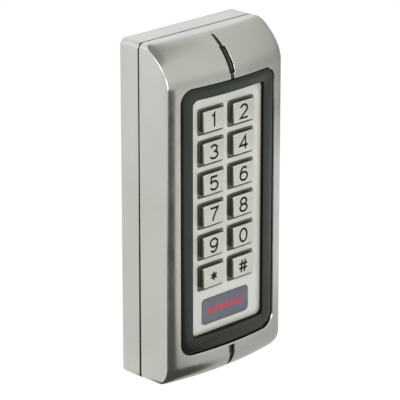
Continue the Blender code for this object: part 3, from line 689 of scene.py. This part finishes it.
# ---- pieces in the opening
def make_bezel_piece():
    """Dark frame round the plate, with both edges rounded."""
    outer = grown(BEZEL, 0, SIDE_STEPS)
    inner = grown(WINDOW, 0, SIDE_STEPS)
    outer_drop, inner_drop = BEZEL_DROPS
    span = (BEZEL[0] - WINDOW[0]) / 2
    edge = BEZEL_EDGE
    profile = [(inset / span, outer_drop + edge - rise) for inset, rise in quarter(edge)]
    profile += BEZEL_FACE
    profile += [(1 - inset / span, inner_drop + edge - rise)
                for inset, rise in reversed(quarter(edge))]
    rings = [crown_ring(blended(outer, inner, share), drop, BEZEL_LOW_SLOPE)
             for share, drop in profile]
    seat_reach = LEDGE + GAP
    seat = grown((*WINDOW[:3], WINDOW[3] + 1.5 - seat_reach), seat_reach, SIDE_STEPS)
    flange = grown((*BEZEL[:3], BEZEL[3] + 1 - BEZEL_FLANGE), BEZEL_FLANGE, SIDE_STEPS)
    step_depth = PLATE_FACE + GAP
    flange_front = BEZEL_BACK + BEZEL_FLANGE_THICK
    rings += [ring_at(inner, step_depth), ring_at(seat, step_depth), ring_at(seat, BEZEL_BACK),
              ring_at(flange, BEZEL_BACK), ring_at(flange, flange_front),
              ring_at(outer, flange_front)]
    return finish("bezel_frame_piece", loft(rings, closed=True), 25)


def blended(outer, inner, share):
    """The outline that lies this share of the way from one to another."""
    return [(ox + (ix - ox) * share, oz + (iz - oz) * share)
            for (ox, oz), (ix, iz) in zip(outer, inner)]


def key_centres():
    """Each key node's name with its centre (x, z), from the CAD boxes."""
    found = {}
    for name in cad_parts:
        if name.startswith("key_") and name != "key_mat":
            low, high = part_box(name)
            found[name] = ((low.x + high.x) / 2 / MM, (low.z + high.z) / 2 / MM)
    return found


def make_plate_piece(centres):
    """Metal plate with eased apertures and a pocket for the label."""
    size = (WINDOW[0] + 2 * LEDGE, WINDOW[1] + LEDGE, WINDOW[2] - LEDGE, WINDOW[3] + 1)
    back = PLATE_FACE - PLATE_THICK
    plate = prism("keypad_plate_piece", grown(size, 0), back, PLATE_FACE)
    for x, z in centres.values():
        cut(plate, eased_cutter(APERTURE, x, z, back - OVERSHOOT, PLATE_EDGE))
    pocket = (LABEL[0] + 2 * GAP, LABEL[1] + GAP, LABEL[2] - GAP, LABEL[3] + GAP)
    cut(plate, eased_cutter(pocket, 0, 0, PLATE_FACE - LABEL_POCKET, POCKET_EDGE))
    return settle(plate)


def eased_cutter(size, x, z, floor, edge):
    """A cutter down to a floor that opens out at the plate's face."""
    levels = ((0, floor), (0, PLATE_FACE - edge), (edge * 0.3, PLATE_FACE - edge * 0.3),
              (edge, PLATE_FACE), (edge + OVERSHOOT, PLATE_FACE + edge))
    rings = [ring_at(moved(grown(size, grow, 1, 8), x, z), depth) for grow, depth in levels]
    return finish("eased_tool", loft(rings))


def make_key_piece(name, x, z):
    """One key: flange behind the plate, collar and raised cap."""
    back = PLATE_FACE - PLATE_THICK - GAP - FLANGE_THICK
    collar_face = PLATE_FACE - COLLAR_DROP
    flange = (*APERTURE[:3], APERTURE[3] - FLANGE_EXTRA)
    cap = (KEY_W, KEY_H / 2, -KEY_H / 2, KEY_R)
    levels = [(flange, FLANGE_EXTRA, back), (flange, FLANGE_EXTRA, back + FLANGE_THICK),
              (APERTURE, -GAP, back + FLANGE_THICK)]
    levels += [(APERTURE, -GAP - inset, collar_face - COLLAR_EDGE + rise)
               for inset, rise in quarter(COLLAR_EDGE, 3)]
    levels += [(cap, inset, collar_face + CAP_FOOT - rise)
               for inset, rise in reversed(quarter(CAP_FOOT, 3))]
    levels += [(cap, -inset, KEY_FACE - KEY_EDGE + rise) for inset, rise in quarter(KEY_EDGE, 5)]
    rings = [ring_at(moved(grown(size, grow, 1, 6), x, z), depth) for size, grow, depth in levels]
    return finish(f"{name}_piece", loft(rings), 40)


def paint_bezel(piece):
    """Painted shade: matt black on the bezel's inner wall and round its outer edge."""
    width, top, bottom, _ = grown_size(WINDOW, 0.02)
    outer = BEZEL_SHADE_RINGS * len(grown(BEZEL, 0, SIDE_STEPS))
    for polygon in piece.data.polygons:
        x, _, z = middle_of(polygon)
        inside = abs(x) < width / 2 and bottom < z < top
        if inside or polygon.index < outer:
            polygon.material_index = 1


def paint_key(piece):
    """Satin on the face, a painted highlight on the rim, and painted shade on the rest."""
    for polygon in piece.data.polygons:
        behind = KEY_FACE - middle_of(polygon)[1]
        polygon.material_index = 1 if behind > KEY_EDGE * 0.9 else 2 if behind > 0.002 else 0


def paint_light(piece):
    """A paler strip on the lens's front just right of its middle: a painted highlight."""
    left, right, end = LENS_STREAK
    for polygon in piece.data.polygons:
        x, depth, z = middle_of(polygon)
        outside = centre_depth(z) - depth < 1.0
        if left < x < right and outside and LIGHT_BOTTOM + end < z < LIGHT_TOP - end:
            polygon.material_index = 1


def make_label_piece():
    """Label panel with a soft edge, in the plate's pocket."""
    rings = [ring_at(grown(LABEL, 0), LABEL_FACE - LABEL_THICK)]
    rings += [ring_at(grown(LABEL, -inset), LABEL_FACE - LABEL_EDGE + rise)
              for inset, rise in quarter(LABEL_EDGE, 3)]
    return finish("label_panel", loft(rings))


def make_label_mark():
    """Row of slanted bars printed on the label."""
    shape = bmesh.new()
    middle = (LABEL[1] + LABEL[2]) / 2
    bar = [(-BAR_HALF_W - BAR_LEAN, -BAR_HALF_H), (BAR_HALF_W - BAR_LEAN, -BAR_HALF_H),
           (BAR_HALF_W + BAR_LEAN, BAR_HALF_H), (-BAR_HALF_W + BAR_LEAN, BAR_HALF_H)]
    for number in range(BARS):
        outline = moved(bar, (number - (BARS - 1) / 2) * BAR_PITCH, middle)
        levels = (LABEL_FACE - LEGEND_SINK, LABEL_FACE + LEGEND_PROUD)
        loft([ring_at(outline, depth) for depth in levels], shape=shape)
    return finish("label_bars", shape)


def make_light_piece():
    """Domed smoked lens in the top groove, with its stem."""
    stations = spine(LIGHT_TOP, LIGHT_BOTTOM, 0.5)
    sections = []
    for number in range(len(stations)):
        end = min(number, len(stations) - 1 - number)
        sink, narrow = LIGHT_ENDS[end] if end < len(LIGHT_ENDS) else (0.0, 0.0)
        half = LIGHT_W / 2 - narrow
        section = []
        for step in range(-LIGHT_STEPS, LIGHT_STEPS + 1):
            share = step / LIGHT_STEPS
            dome = LIGHT_DOME * (1 - math.sqrt(1 - (LIGHT_ARC * share) ** 2))
            section.append((half * share, LIGHT_DROP + dome + sink))
        sections.append(section + [(half, LIGHT_DEPTH), (-half, LIGHT_DEPTH)])
    lens = channel("light_window_lens", stations, sections)
    soften(lens, 35)
    add(lens, block("stem_tool", 0, LIGHT_STEM_MIDDLE, LIGHT_W - SHY,
                    LIGHT_STEM_TOP - LIGHT_BOTTOM - SHY, LIGHT_STEM_END,
                    RIDGE_DEPTH + CROWN - LIGHT_DEPTH - STEM_OVERLAP))
    return settle(lens, 35)


# ---- key legends
def oval(cx, cz, rx, rz):
    """Points round a whole ellipse."""
    return arc(cx, cz, rx, rz, 3, 363, 36)[:-1]


def turned(points):
    """The same points after half a turn."""
    return [(-x, -z) for x, z in points]


def legends():
    """Each key's strokes: a list of (points, closed)."""
    h = LEGEND_H
    six = [(arc(0.3, -0.75, 2.45, 3.8, 52, 180), False), (oval(0.05, -1.15, 2.2, 1.9), True)]
    nine = [(turned(points), closed) for points, closed in six]
    star = []
    for angle in (90, 30, -30):
        tip = [(STAR_R * math.cos(math.radians(angle)), STAR_R * math.sin(math.radians(angle)))]
        star.append((turned(tip) + tip, False))
    return {
        "key_1": [([(0.2, -h), (0.2, h), (-1.2, h - 1.15)], False)],
        "key_2": [(arc(-0.05, 1.3, 2.1, 1.75, 165, -32) + [(-2.25, -h), (2.3, -h)], False)],
        "key_3": [(arc(-0.15, 1.55, 1.95, 1.43, 158, -90), False),
                  (arc(-0.15, -1.4, 2.35, 1.58, 92, -158), False)],
        "key_4": [([(1.0, -h), (1.0, h), (-2.6, -1.25), (2.5, -1.25)], False)],
        "key_5": [([(2.0, h), (-1.7, h), (-2.05, 0.0)], False),
                  (arc(-0.05, -1.05, 2.35, 1.93, 150, -155), False)],
        "key_6": six,
        "key_7": [([(-2.3, h), (2.4, h), (0.7, 0.5), (-0.35, -1.5), (-0.8, -h)], False)],
        "key_8": [(oval(0, 1.6, 1.85, 1.45), True), (oval(0, -1.45, 2.2, 1.6), True)],
        "key_9": nine,
        "key_0": [(oval(0, 0, 2.2, h), True)],
        "key_star": star,
        "key_hash": [([(-1.25, -h + 0.1), (-0.65, h - 0.1)], False),
                     ([(0.65, -h + 0.1), (1.25, h - 0.1)], False),
                     ([(-2.5, 1.0), (2.6, 1.0)], False), ([(-2.6, -1.0), (2.5, -1.0)], False)],
    }


def ribbon_sides(points, closed):
    """The two edges of a stroke of even width along these points."""
    left, right = [], []
    last = len(points) - 1
    for number, (x, z) in enumerate(points):
        ways = []
        if number > 0 or closed:
            before = points[number - 1]
            ways.append(Vector((x - before[0], z - before[1])).normalized())
        if number < last or closed:
            after = points[(number + 1) % len(points)]
            ways.append(Vector((after[0] - x, after[1] - z)).normalized())
        mean = sum(ways, Vector((0, 0))).normalized()
        stretch = 1 / max(mean.dot(ways[0]), 0.42)
        off = Vector((-mean.y, mean.x)) * (STROKE / 2 * stretch)
        left.append((x + off.x, z + off.y))
        right.append((x - off.x, z - off.y))
    return left, right


def make_stroke(name, points, closed, x, z):
    """One stroke as a thin solid on the key's face."""
    left, right = ribbon_sides(points, closed)
    low, high = KEY_FACE - LEGEND_SINK, KEY_FACE + LEGEND_PROUD
    if closed:
        rings = [(left, low), (left, high), (right, high), (right, low)]
    else:
        whole = left + right[::-1]
        rings = [(whole, low), (whole, high)]
    placed = [ring_at(moved(outline, x, z), depth) for outline, depth in rings]
    return finish(name, loft(placed, closed))


def make_legend(name, strokes, x, z):
    """A key's digit or sign."""
    made, *others = [make_stroke(f"{name}_legend", *stroke, x, z) for stroke in strokes]
    for piece in others:
        add(made, piece)
    return settle(made)


# ---- materials
COIL_LOOP = ((0, 0.0, 0.0207), (2, -0.0005, 0.052))  # axis, middle and reach of the loop, in metres
COIL_WIRE = 0.0003
LAMPS = (("red", (0.5, 0.02, 0.02)), ("amber", (0.6, 0.28, 0.02)), ("green", (0.02, 0.4, 0.06)))


def wire(tree, kind, inputs=(), **settings):
    """A new node with its settings, and its inputs set or linked."""
    made = tree.nodes.new(kind)
    for name, value in settings.items():
        setattr(made, name, value)
    for socket, value in dict(inputs).items():
        if isinstance(value, bpy.types.NodeSocket):
            tree.links.new(value, made.inputs[socket])
        else:
            made.inputs[socket].default_value = value
    return made


def ramped(tree, value, start, end, low, high, **settings):
    """A value remapped from start..end to low..high."""
    inputs = {"Value": value, "From Min": start, "From Max": end, "To Min": low, "To Max": high}
    return wire(tree, "ShaderNodeMapRange", inputs, **settings).outputs[0]


class Look:
    """A Principled material and short ways to wire nodes into it."""

    def __init__(self, name, **values):
        self.material = bpy.data.materials.new(name)
        self.material.use_nodes = True
        self.tree = self.material.node_tree
        self.shader = self.tree.nodes["Principled BSDF"]
        for socket, value in values.items():
            self.shader.inputs[socket.replace("_", " ")].default_value = value
        self.coords = self.tree.nodes.new("ShaderNodeTexCoord").outputs["Object"]

    def math(self, operation, *values):
        """A Math node's result."""
        return wire(self.tree, "ShaderNodeMath", enumerate(values), operation=operation).outputs[0]

    def link(self, source, socket):
        self.tree.links.new(source, self.shader.inputs[socket])

    def noise(self, scale, detail=3.0, stretch=None):
        """Noise with this many features to the metre."""
        vector = self.coords
        if stretch is not None:
            inputs = {"Vector": vector, "Scale": stretch}
            vector = wire(self.tree, "ShaderNodeMapping", inputs).outputs[0]
        inputs = {"Vector": vector, "Scale": scale, "Detail": detail}
        return wire(self.tree, "ShaderNodeTexNoise", inputs).outputs[0]

    def spread(self, value, low, high, start=0.3, end=0.7):
        """A value remapped from start..end to low..high, for most noises from 0.3..0.7."""
        return ramped(self.tree, value, start, end, low, high)

    def cloud(self, scale, detail=3.0):
        """A soft share between 0 and 1."""
        return self.spread(self.noise(scale, detail), 0.0, 1.0)

    def rough(self, scale, detail, low, high):
        """Roughness that varies between two values."""
        self.link(self.spread(self.noise(scale, detail), low, high), "Roughness")

    def paint(self, share, first, second):
        """Two tones mixed by a share, as the base colour; gives the mix back."""
        tones = [(*tone, 1.0) if isinstance(tone, tuple) else tone for tone in (first, second)]
        inputs = {0: share, 6: tones[0], 7: tones[1]}
        made = wire(self.tree, "ShaderNodeMix", inputs, data_type="RGBA")
        self.link(made.outputs[2], "Base Color")
        return made.outputs[2]

    def bump(self, height, distance, strength):
        inputs = {"Height": height, "Distance": distance, "Strength": strength}
        self.link(wire(self.tree, "ShaderNodeBump", inputs).outputs[0], "Normal")

    def edge_mask(self, radius):
        """1 along sharp outer edges, 0 elsewhere."""
        bent = wire(self.tree, "ShaderNodeBevel", {"Radius": radius}, samples=6).outputs[0]
        flat = wire(self.tree, "ShaderNodeNewGeometry").outputs["Normal"]
        dot = wire(self.tree, "ShaderNodeVectorMath", {0: bent, 1: flat}, operation="DOT_PRODUCT")
        return self.spread(dot.outputs["Value"], 1.0, 0.0, 0.86, 0.995)


def scaled(tone, factor):
    """A tone made lighter or darker, at most white."""
    return tuple(min(value * factor, 1) for value in tone)


def satin_metal(name, tone, rough, grain=2600.0, edge=0.10, metallic=1.0):
    """Bead-blasted, plated zinc: fine grain, cloudy tone, and edges lightened partly as wear and
    partly as a painted highlight.
    """
    look = Look(name, Metallic=metallic)
    colour = look.paint(look.cloud(38.0, 4.0), scaled(tone, 0.955), scaled(tone, 1.03))
    base = look.spread(look.noise(95.0, 5.0), rough - 0.04, rough + 0.05)
    if edge:
        edges = look.edge_mask(0.00025)
        # lighter along sharp edges: partly wear, partly painted highlight
        look.paint(edges, colour, tuple(min(value + edge, 1) for value in tone))
        base = look.math("ADD", base, look.math("MULTIPLY", edges, -0.08))
    look.link(base, "Roughness")
    look.bump(look.noise(grain, 2.0), 0.000012, 0.5)
    return look.material


def moulded(name, tone, rough, grain=1800.0, relief=0.00001, **values):
    """Moulded plastic or rubber with a fine texture."""
    look = Look(name, **values)
    look.paint(look.cloud(60.0, 4.0), scaled(tone, 0.86), scaled(tone, 1.12))
    look.rough(150.0, 4.0, rough - 0.05, rough + 0.06)
    look.bump(look.noise(grain, 3.0), relief, 0.6)
    return look.material


def turned_metal(name, tone, rough):
    """Machined steel or aluminium with fine tool marks."""
    look = Look(name, Metallic=1.0)
    marks = look.noise(1500.0, 2.0, (1.0, 0.15, 1.0))
    look.paint(look.spread(marks, 0.0, 1.0), scaled(tone, 0.9), tone)
    look.link(look.spread(marks, rough - 0.06, rough + 0.08), "Roughness")
    look.bump(marks, 0.00001, 0.4)
    return look.material


def board_look(name):
    """Green solder mask with faint copper tracks."""
    look = Look(name)
    bricks = {"Vector": look.coords, "Scale": 300.0, "Mortar Size": 0.03, "Brick Width": 1.7,
              "Row Height": 0.45}
    tracks = wire(look.tree, "ShaderNodeTexBrick", bricks).outputs["Fac"]
    mask = look.paint(look.cloud(90.0), (0.010, 0.085, 0.036), (0.018, 0.115, 0.050))
    look.paint(tracks, mask, (0.035, 0.17, 0.075))
    look.rough(400.0, 3.0, 0.32, 0.45)
    look.bump(tracks, 0.00003, 0.5)
    return look.material


def coil_look(name):
    """Lacquered copper wire wound side by side round the loop."""
    look = Look(name, Metallic=1.0)
    split = wire(look.tree, "ShaderNodeSeparateXYZ", {0: look.coords})
    sides = []
    for axis, middle, reach in COIL_LOOP:
        centred = look.math("SUBTRACT", split.outputs[axis], middle)
        sides.append(look.math("SUBTRACT", look.math("ABSOLUTE", centred), reach))
    turns = look.math("MULTIPLY", look.math("MAXIMUM", *sides), 2 * math.pi / COIL_WIRE)
    shade = look.spread(look.math("SINE", turns), 0.0, 1.0, -1.0, 1.0)
    look.paint(shade, (0.28, 0.10, 0.045), (0.80, 0.40, 0.22))
    look.rough(300.0, 3.0, 0.26, 0.38)
    look.bump(shade, 0.0001, 0.8)
    return look.material


def lens_look(name):
    """Smoked glossy plastic with a little dust haze."""
    look = Look(name, IOR=1.49, Specular_IOR_Level=0.22)
    look.paint(look.cloud(220.0, 4.0), (0.006, 0.005, 0.004), (0.013, 0.010, 0.008))
    look.rough(700.0, 5.0, 0.06, 0.16)
    look.bump(look.noise(500.0), 0.000006, 0.3)
    return look.material


def print_look(name, tone, shine):
    """Screen-printed ink: matt, slightly uneven."""
    look = Look(name, Specular_IOR_Level=shine)
    look.paint(look.cloud(900.0, 4.0), scaled(tone, 0.8), scaled(tone, 1.2))
    look.rough(1300.0, 3.0, 0.45, 0.6)
    look.bump(look.noise(2500.0), 0.000006, 0.4)
    return look.material


def make_looks():
    """All materials by name."""
    looks = {
        "housing": satin_metal("satin_nickel_cast", (0.515, 0.52, 0.475), 0.20),
        "plate": satin_metal("satin_plate", (0.60, 0.605, 0.56), 0.36, 3200.0, 0.10, 0.3),
        "key": satin_metal("satin_key", (0.56, 0.56, 0.503), 0.30, 3200.0, 0.0, 0.6),
        # brighter copy of the key metal: painted highlight on the cap's rounded rim
        "key_rim": satin_metal("key_rim_painted_highlight", (0.80, 0.80, 0.75), 0.22, 3200.0, 0.0),
        # darker copy of the key metal: painted shade on the cap's sides and the collar
        "skirt": satin_metal("key_skirt_painted_shade", (0.17, 0.17, 0.13), 0.36, 2600.0, 0.0),
        # darker copy of the housing metal: painted shade in the grooves and at the seam
        "groove": satin_metal("groove_and_seam_painted_shade", (0.06, 0.06, 0.052), 0.4, 2600.0, 0.0),
        "bezel": moulded("dark_bezel_coat", (0.006, 0.007, 0.005), 0.22, 2600.0, 0.000004,
                         Specular_Tint=(0.87, 1.0, 0.86, 1.0)),
        # darker, duller copy of the bezel coat: painted shade on its inner wall and outer edge
        "bezel_wall": moulded("bezel_wall_painted_shade", (0.003, 0.003, 0.003), 0.6,
                              Specular_IOR_Level=0.12),
        "rubber": moulded("black_rubber_seal", (0.014, 0.014, 0.014), 0.72),
        "silicone": moulded("grey_silicone_mat", (0.24, 0.24, 0.25), 0.62),
        "screw": turned_metal("screw_steel_zinc", (0.56, 0.56, 0.55), 0.3),
        "board": board_look("board_solder_mask"),
        "coil": coil_look("coil_copper_wire"),
        "lens": lens_look("smoked_lens_plastic"),
        # paler resin: painted highlight streak on the lens
        "lens_streak_highlight": moulded("lens_streak_painted_highlight", (0.085, 0.062, 0.048), 0.3,
                               Specular_IOR_Level=0.3),
        "label": moulded("label_slate_film", (0.11, 0.113, 0.145), 0.42, 3000.0, 0.000006),
        "red_print": print_look("red_print_ink", (0.55, 0.015, 0.05), 0.5),
        "black_print": print_look("black_print_ink", (0.009, 0.009, 0.008), 0.15),
        "relay": moulded("relay_blue_case", (0.03, 0.06, 0.16), 0.38),
        "chip": moulded("chip_black_epoxy", (0.018, 0.018, 0.02), 0.5, 2800.0, 0.00002),
        "can": turned_metal("capacitor_aluminium", (0.62, 0.62, 0.64), 0.3),
        "buzzer": moulded("buzzer_black_case", (0.014, 0.014, 0.014), 0.42),
        "terminal": moulded("terminal_green_case", (0.03, 0.22, 0.09), 0.42),
        "sensor": moulded("sensor_resin", (0.5, 0.32, 0.18), 0.22, Coat_Weight=0.5),
    }
    for name, tone in LAMPS:
        looks[name] = moulded(f"lamp_{name}_resin", tone, 0.25, Coat_Weight=0.5)
    return looks


# The CAD nodes that stay: look, material slot, names
KEPT_NODES = (
    ("rubber", "black_rubber", "seam_seal cable_grommet"),
    ("silicone", "grey_silicone", "key_mat"),
    ("screw", "screw_steel", "case_screw_1 case_screw_2 "
                             "board_screw_1 board_screw_2 board_screw_3 board_screw_4"),
    ("board", "circuit_green", "circuit_board"),
    ("coil", "antenna_copper", "antenna_coil"),
    ("relay", "relay_case", "relay"),
    ("chip", "chip_black", "controller_chip reader_chip voltage_regulator"),
    ("can", "capacitor_can", "capacitor_1 capacitor_2"),
    ("buzzer", "buzzer_black", "buzzer"),
    ("terminal", "terminal_green", "terminal_block"),
    ("sensor", "sensor_clear", "tamper_light_sensor"),
    *((tone, f"lamp_{tone}", f"status_led_{tone}") for tone, _ in LAMPS))


# ---- putting the object together
def show(piece, body, looks, slot, *nodes):
    """Give a new piece its looks and its body, and hide the CAD nodes it stands for; slot is not
    used.
    """
    for look in looks:
        piece.data.materials.append(look)
    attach(piece, body)
    if nodes:
        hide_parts(*nodes)
    return piece


def build_object():
    """Every new piece, and the looks of the CAD nodes that stay."""
    looks = make_looks()
    metal = (looks["housing"], looks["groove"])
    paint_shell(show(make_rear_shell(), "reader", metal, "satin_nickel", "rear_housing"),
                REAR_DEPTH)
    paint_shell(show(make_front_shell(), "reader", metal, "satin_nickel", "front_housing"),
                FRONT_START)
    coats = (looks["bezel"], looks["bezel_wall"])
    paint_bezel(show(make_bezel_piece(), "reader", coats, "dark_bezel", "bezel_frame"))
    centres = key_centres()
    show(make_plate_piece(centres), "reader", [looks["plate"]], "brushed_plate", "keypad_plate")
    show(make_label_piece(), "reader", [looks["label"]], "label_slate", "label")
    show(make_label_mark(), "reader", [looks["red_print"]], "label_slate")
    clear = (looks["lens"], looks["lens_streak_highlight"])
    paint_light(show(make_light_piece(), "reader", clear, "smoked_lens", "light_window"))
    strokes = legends()
    finishes = (looks["key"], looks["skirt"], looks["key_rim"])
    for name, (x, z) in centres.items():
        paint_key(show(make_key_piece(name, x, z), name, finishes, "key_metal", name))
        legend = make_legend(name, strokes[name], x, z)
        show(legend, name, [looks["black_print"]], "key_metal")
    for look, slot, names in KEPT_NODES:
        for name in names.split():
            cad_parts[name].material_slots[0].material = looks[look]


# ---- camera, floor and light
AIM = Vector((-0.00147, -0.015, -0.00062))  # metres, like everything in this part
CAMERA_DISTANCE = 1.2219
AZIMUTH = -45.0
ELEVATION = 19.18
LENS = 246.8
FLOOR_R = 0.85
FLOOR_CENTRE = (-0.08, -0.10)
FLOOR_Z = CAD_BOX[0].z - 0.14
CARD_RISE = 0.002
CARD_BORDER = [(0.065, 0.1), (0.06, -0.01), (0.085, -0.05), (0.113, -0.14), (0.12, -0.24),
               (0.10, -0.34), (0.066, -0.42)]
FRONT_CARD = [(-0.6, 0.1), (-0.6, -1.5), (0.30, -1.5), (0.17, -0.85), (0.10, -0.6)]
SIDE_CARD = [(0.14, -0.44), (0.24, -0.33), (0.42, -0.26), (0.49, 0.0), (0.49, 0.1)]
# Brightness of the surroundings: axis, the two places along it, and the value at each
WORLD_RAMPS = (("X", 0.62, 1.05, 0.94, 0.55), ("Z", 0.0, 0.34, 0.80, 1.0),
               ("Z", 0.78, 0.87, 1.0, 0.4), ("Y", 0.2, 0.65, 1.0, 1.25),
               ("X", -0.7, -0.1, 1.2, 1.0))
WORLD_RED = 0.985
WORLD_BLUE = ("Y", 0.4, 0.7, 0.985, 1.03)


def direction(azimuth, elevation):
    """Unit vector towards this side; azimuth 0 is in front, 90 to the right."""
    a, e = math.radians(azimuth), math.radians(elevation)
    return Vector((math.sin(a) * math.cos(e), -math.cos(a) * math.cos(e), math.sin(e)))


def aimed(name, data, azimuth, elevation, distance):
    """A camera or lamp on this side of the reader, turned towards it."""
    toward = direction(azimuth, elevation)
    made = linked(name, data)
    made.location = AIM + toward * distance
    made.rotation_mode = "QUATERNION"
    made.rotation_quaternion = (-toward).to_track_quat("-Z", "Y")
    return made


def make_camera():
    data = bpy.data.cameras.new("camera")
    data.lens = LENS
    data.sensor_width = 36.0
    data.clip_end = 20.0
    bpy.context.scene.camera = aimed("camera", data, AZIMUTH, ELEVATION, CAMERA_DISTANCE)


def make_floor():
    """White floor disc well below the reader."""
    look = plain_look("floor_white", (0.10, 0.10, 0.10), Emission_Color=(1, 1, 1, 1),
                      Emission_Strength=0.92)
    shape = bmesh.new()
    bmesh.ops.create_circle(shape, cap_ends=True, radius=FLOOR_R, segments=96)
    floor = stage_piece("floor", shape, look)
    floor.location = (*FLOOR_CENTRE, FLOOR_Z)


def plain_look(name, tone, **values):
    """Matt material of one colour, for the studio."""
    return Look(name, Base_Color=(*tone, 1), Roughness=1.0, Specular_IOR_Level=0.0,
                **values).material


def stage_piece(name, shape, look):
    """An object that belongs to the studio."""
    made = to_object(name, shape)
    made.data.materials.append(look)
    return made


def softbox(name, azimuth, elevation, distance, size, power):
    """Rectangular area light aimed at the reader."""
    data = bpy.data.lights.new(name, "AREA")
    data.shape = "RECTANGLE"
    data.size, data.size_y = size
    data.energy = power
    aimed(name, data, azimuth, elevation, distance).visible_camera = False


def floor_card(name, outline, tone):
    """Card lying just above the floor that only shows in reflections, as painted shade on the floor
    there.
    """
    shape = bmesh.new()
    shape.faces.new([shape.verts.new((x, y, FLOOR_Z + CARD_RISE)) for x, y in outline])
    card = stage_piece(name, shape, plain_look(name, tone))
    card.visible_camera = False
    card.visible_diffuse = False
    card.visible_shadow = False


def make_world():
    """White to the camera; to the rest greyer at the right, low down and overhead."""
    world = bpy.data.worlds.new("studio")
    world.use_nodes = True
    tree = world.node_tree
    tree.nodes.clear()

    split = wire(tree, "ShaderNodeSeparateXYZ",
                 {0: wire(tree, "ShaderNodeTexCoord").outputs["Generated"]})

    def ramp(axis, start, end, low, high):
        """Eases from low to high between two places along an axis."""
        return ramped(tree, split.outputs[axis], start, end, low, high,
                      interpolation_type="SMOOTHSTEP")

    value = ramp(*WORLD_RAMPS[0])
    for settings in WORLD_RAMPS[1:]:
        factors = {0: value, 1: ramp(*settings)}
        value = wire(tree, "ShaderNodeMath", factors, operation="MULTIPLY").outputs[0]
    colour = wire(tree, "ShaderNodeCombineColor",
                  {"Red": WORLD_RED, "Green": 1.0, "Blue": ramp(*WORLD_BLUE)}).outputs[0]
    soft = wire(tree, "ShaderNodeBackground", {"Color": colour, "Strength": value}).outputs[0]
    white = wire(tree, "ShaderNodeBackground", {"Color": (1, 1, 1, 1)}).outputs[0]
    path = wire(tree, "ShaderNodeLightPath").outputs["Is Camera Ray"]
    mix = wire(tree, "ShaderNodeMixShader", {0: path, 1: soft, 2: white}).outputs[0]
    wire(tree, "ShaderNodeOutputWorld", {"Surface": mix})
    bpy.context.scene.world = world


def make_studio():
    make_camera()
    make_floor()
    make_world()
    softbox("left_light", -38, 10, 0.9, (0.38, 0.42), 3.0)
    softbox("upper_left_light", -62, 42, 0.9, (0.34, 0.34), 0.9)
    # dark card: painted shade of the floor before and under the reader; grey card: lighter painted
    # shade to its right
    floor_card("front_card", FRONT_CARD + CARD_BORDER[::-1], (0.09, 0.09, 0.08))
    floor_card("side_card", CARD_BORDER + SIDE_CARD, (0.68, 0.68, 0.68))
    bpy.context.scene.view_settings.view_transform = "Standard"


make_studio()
build_object()
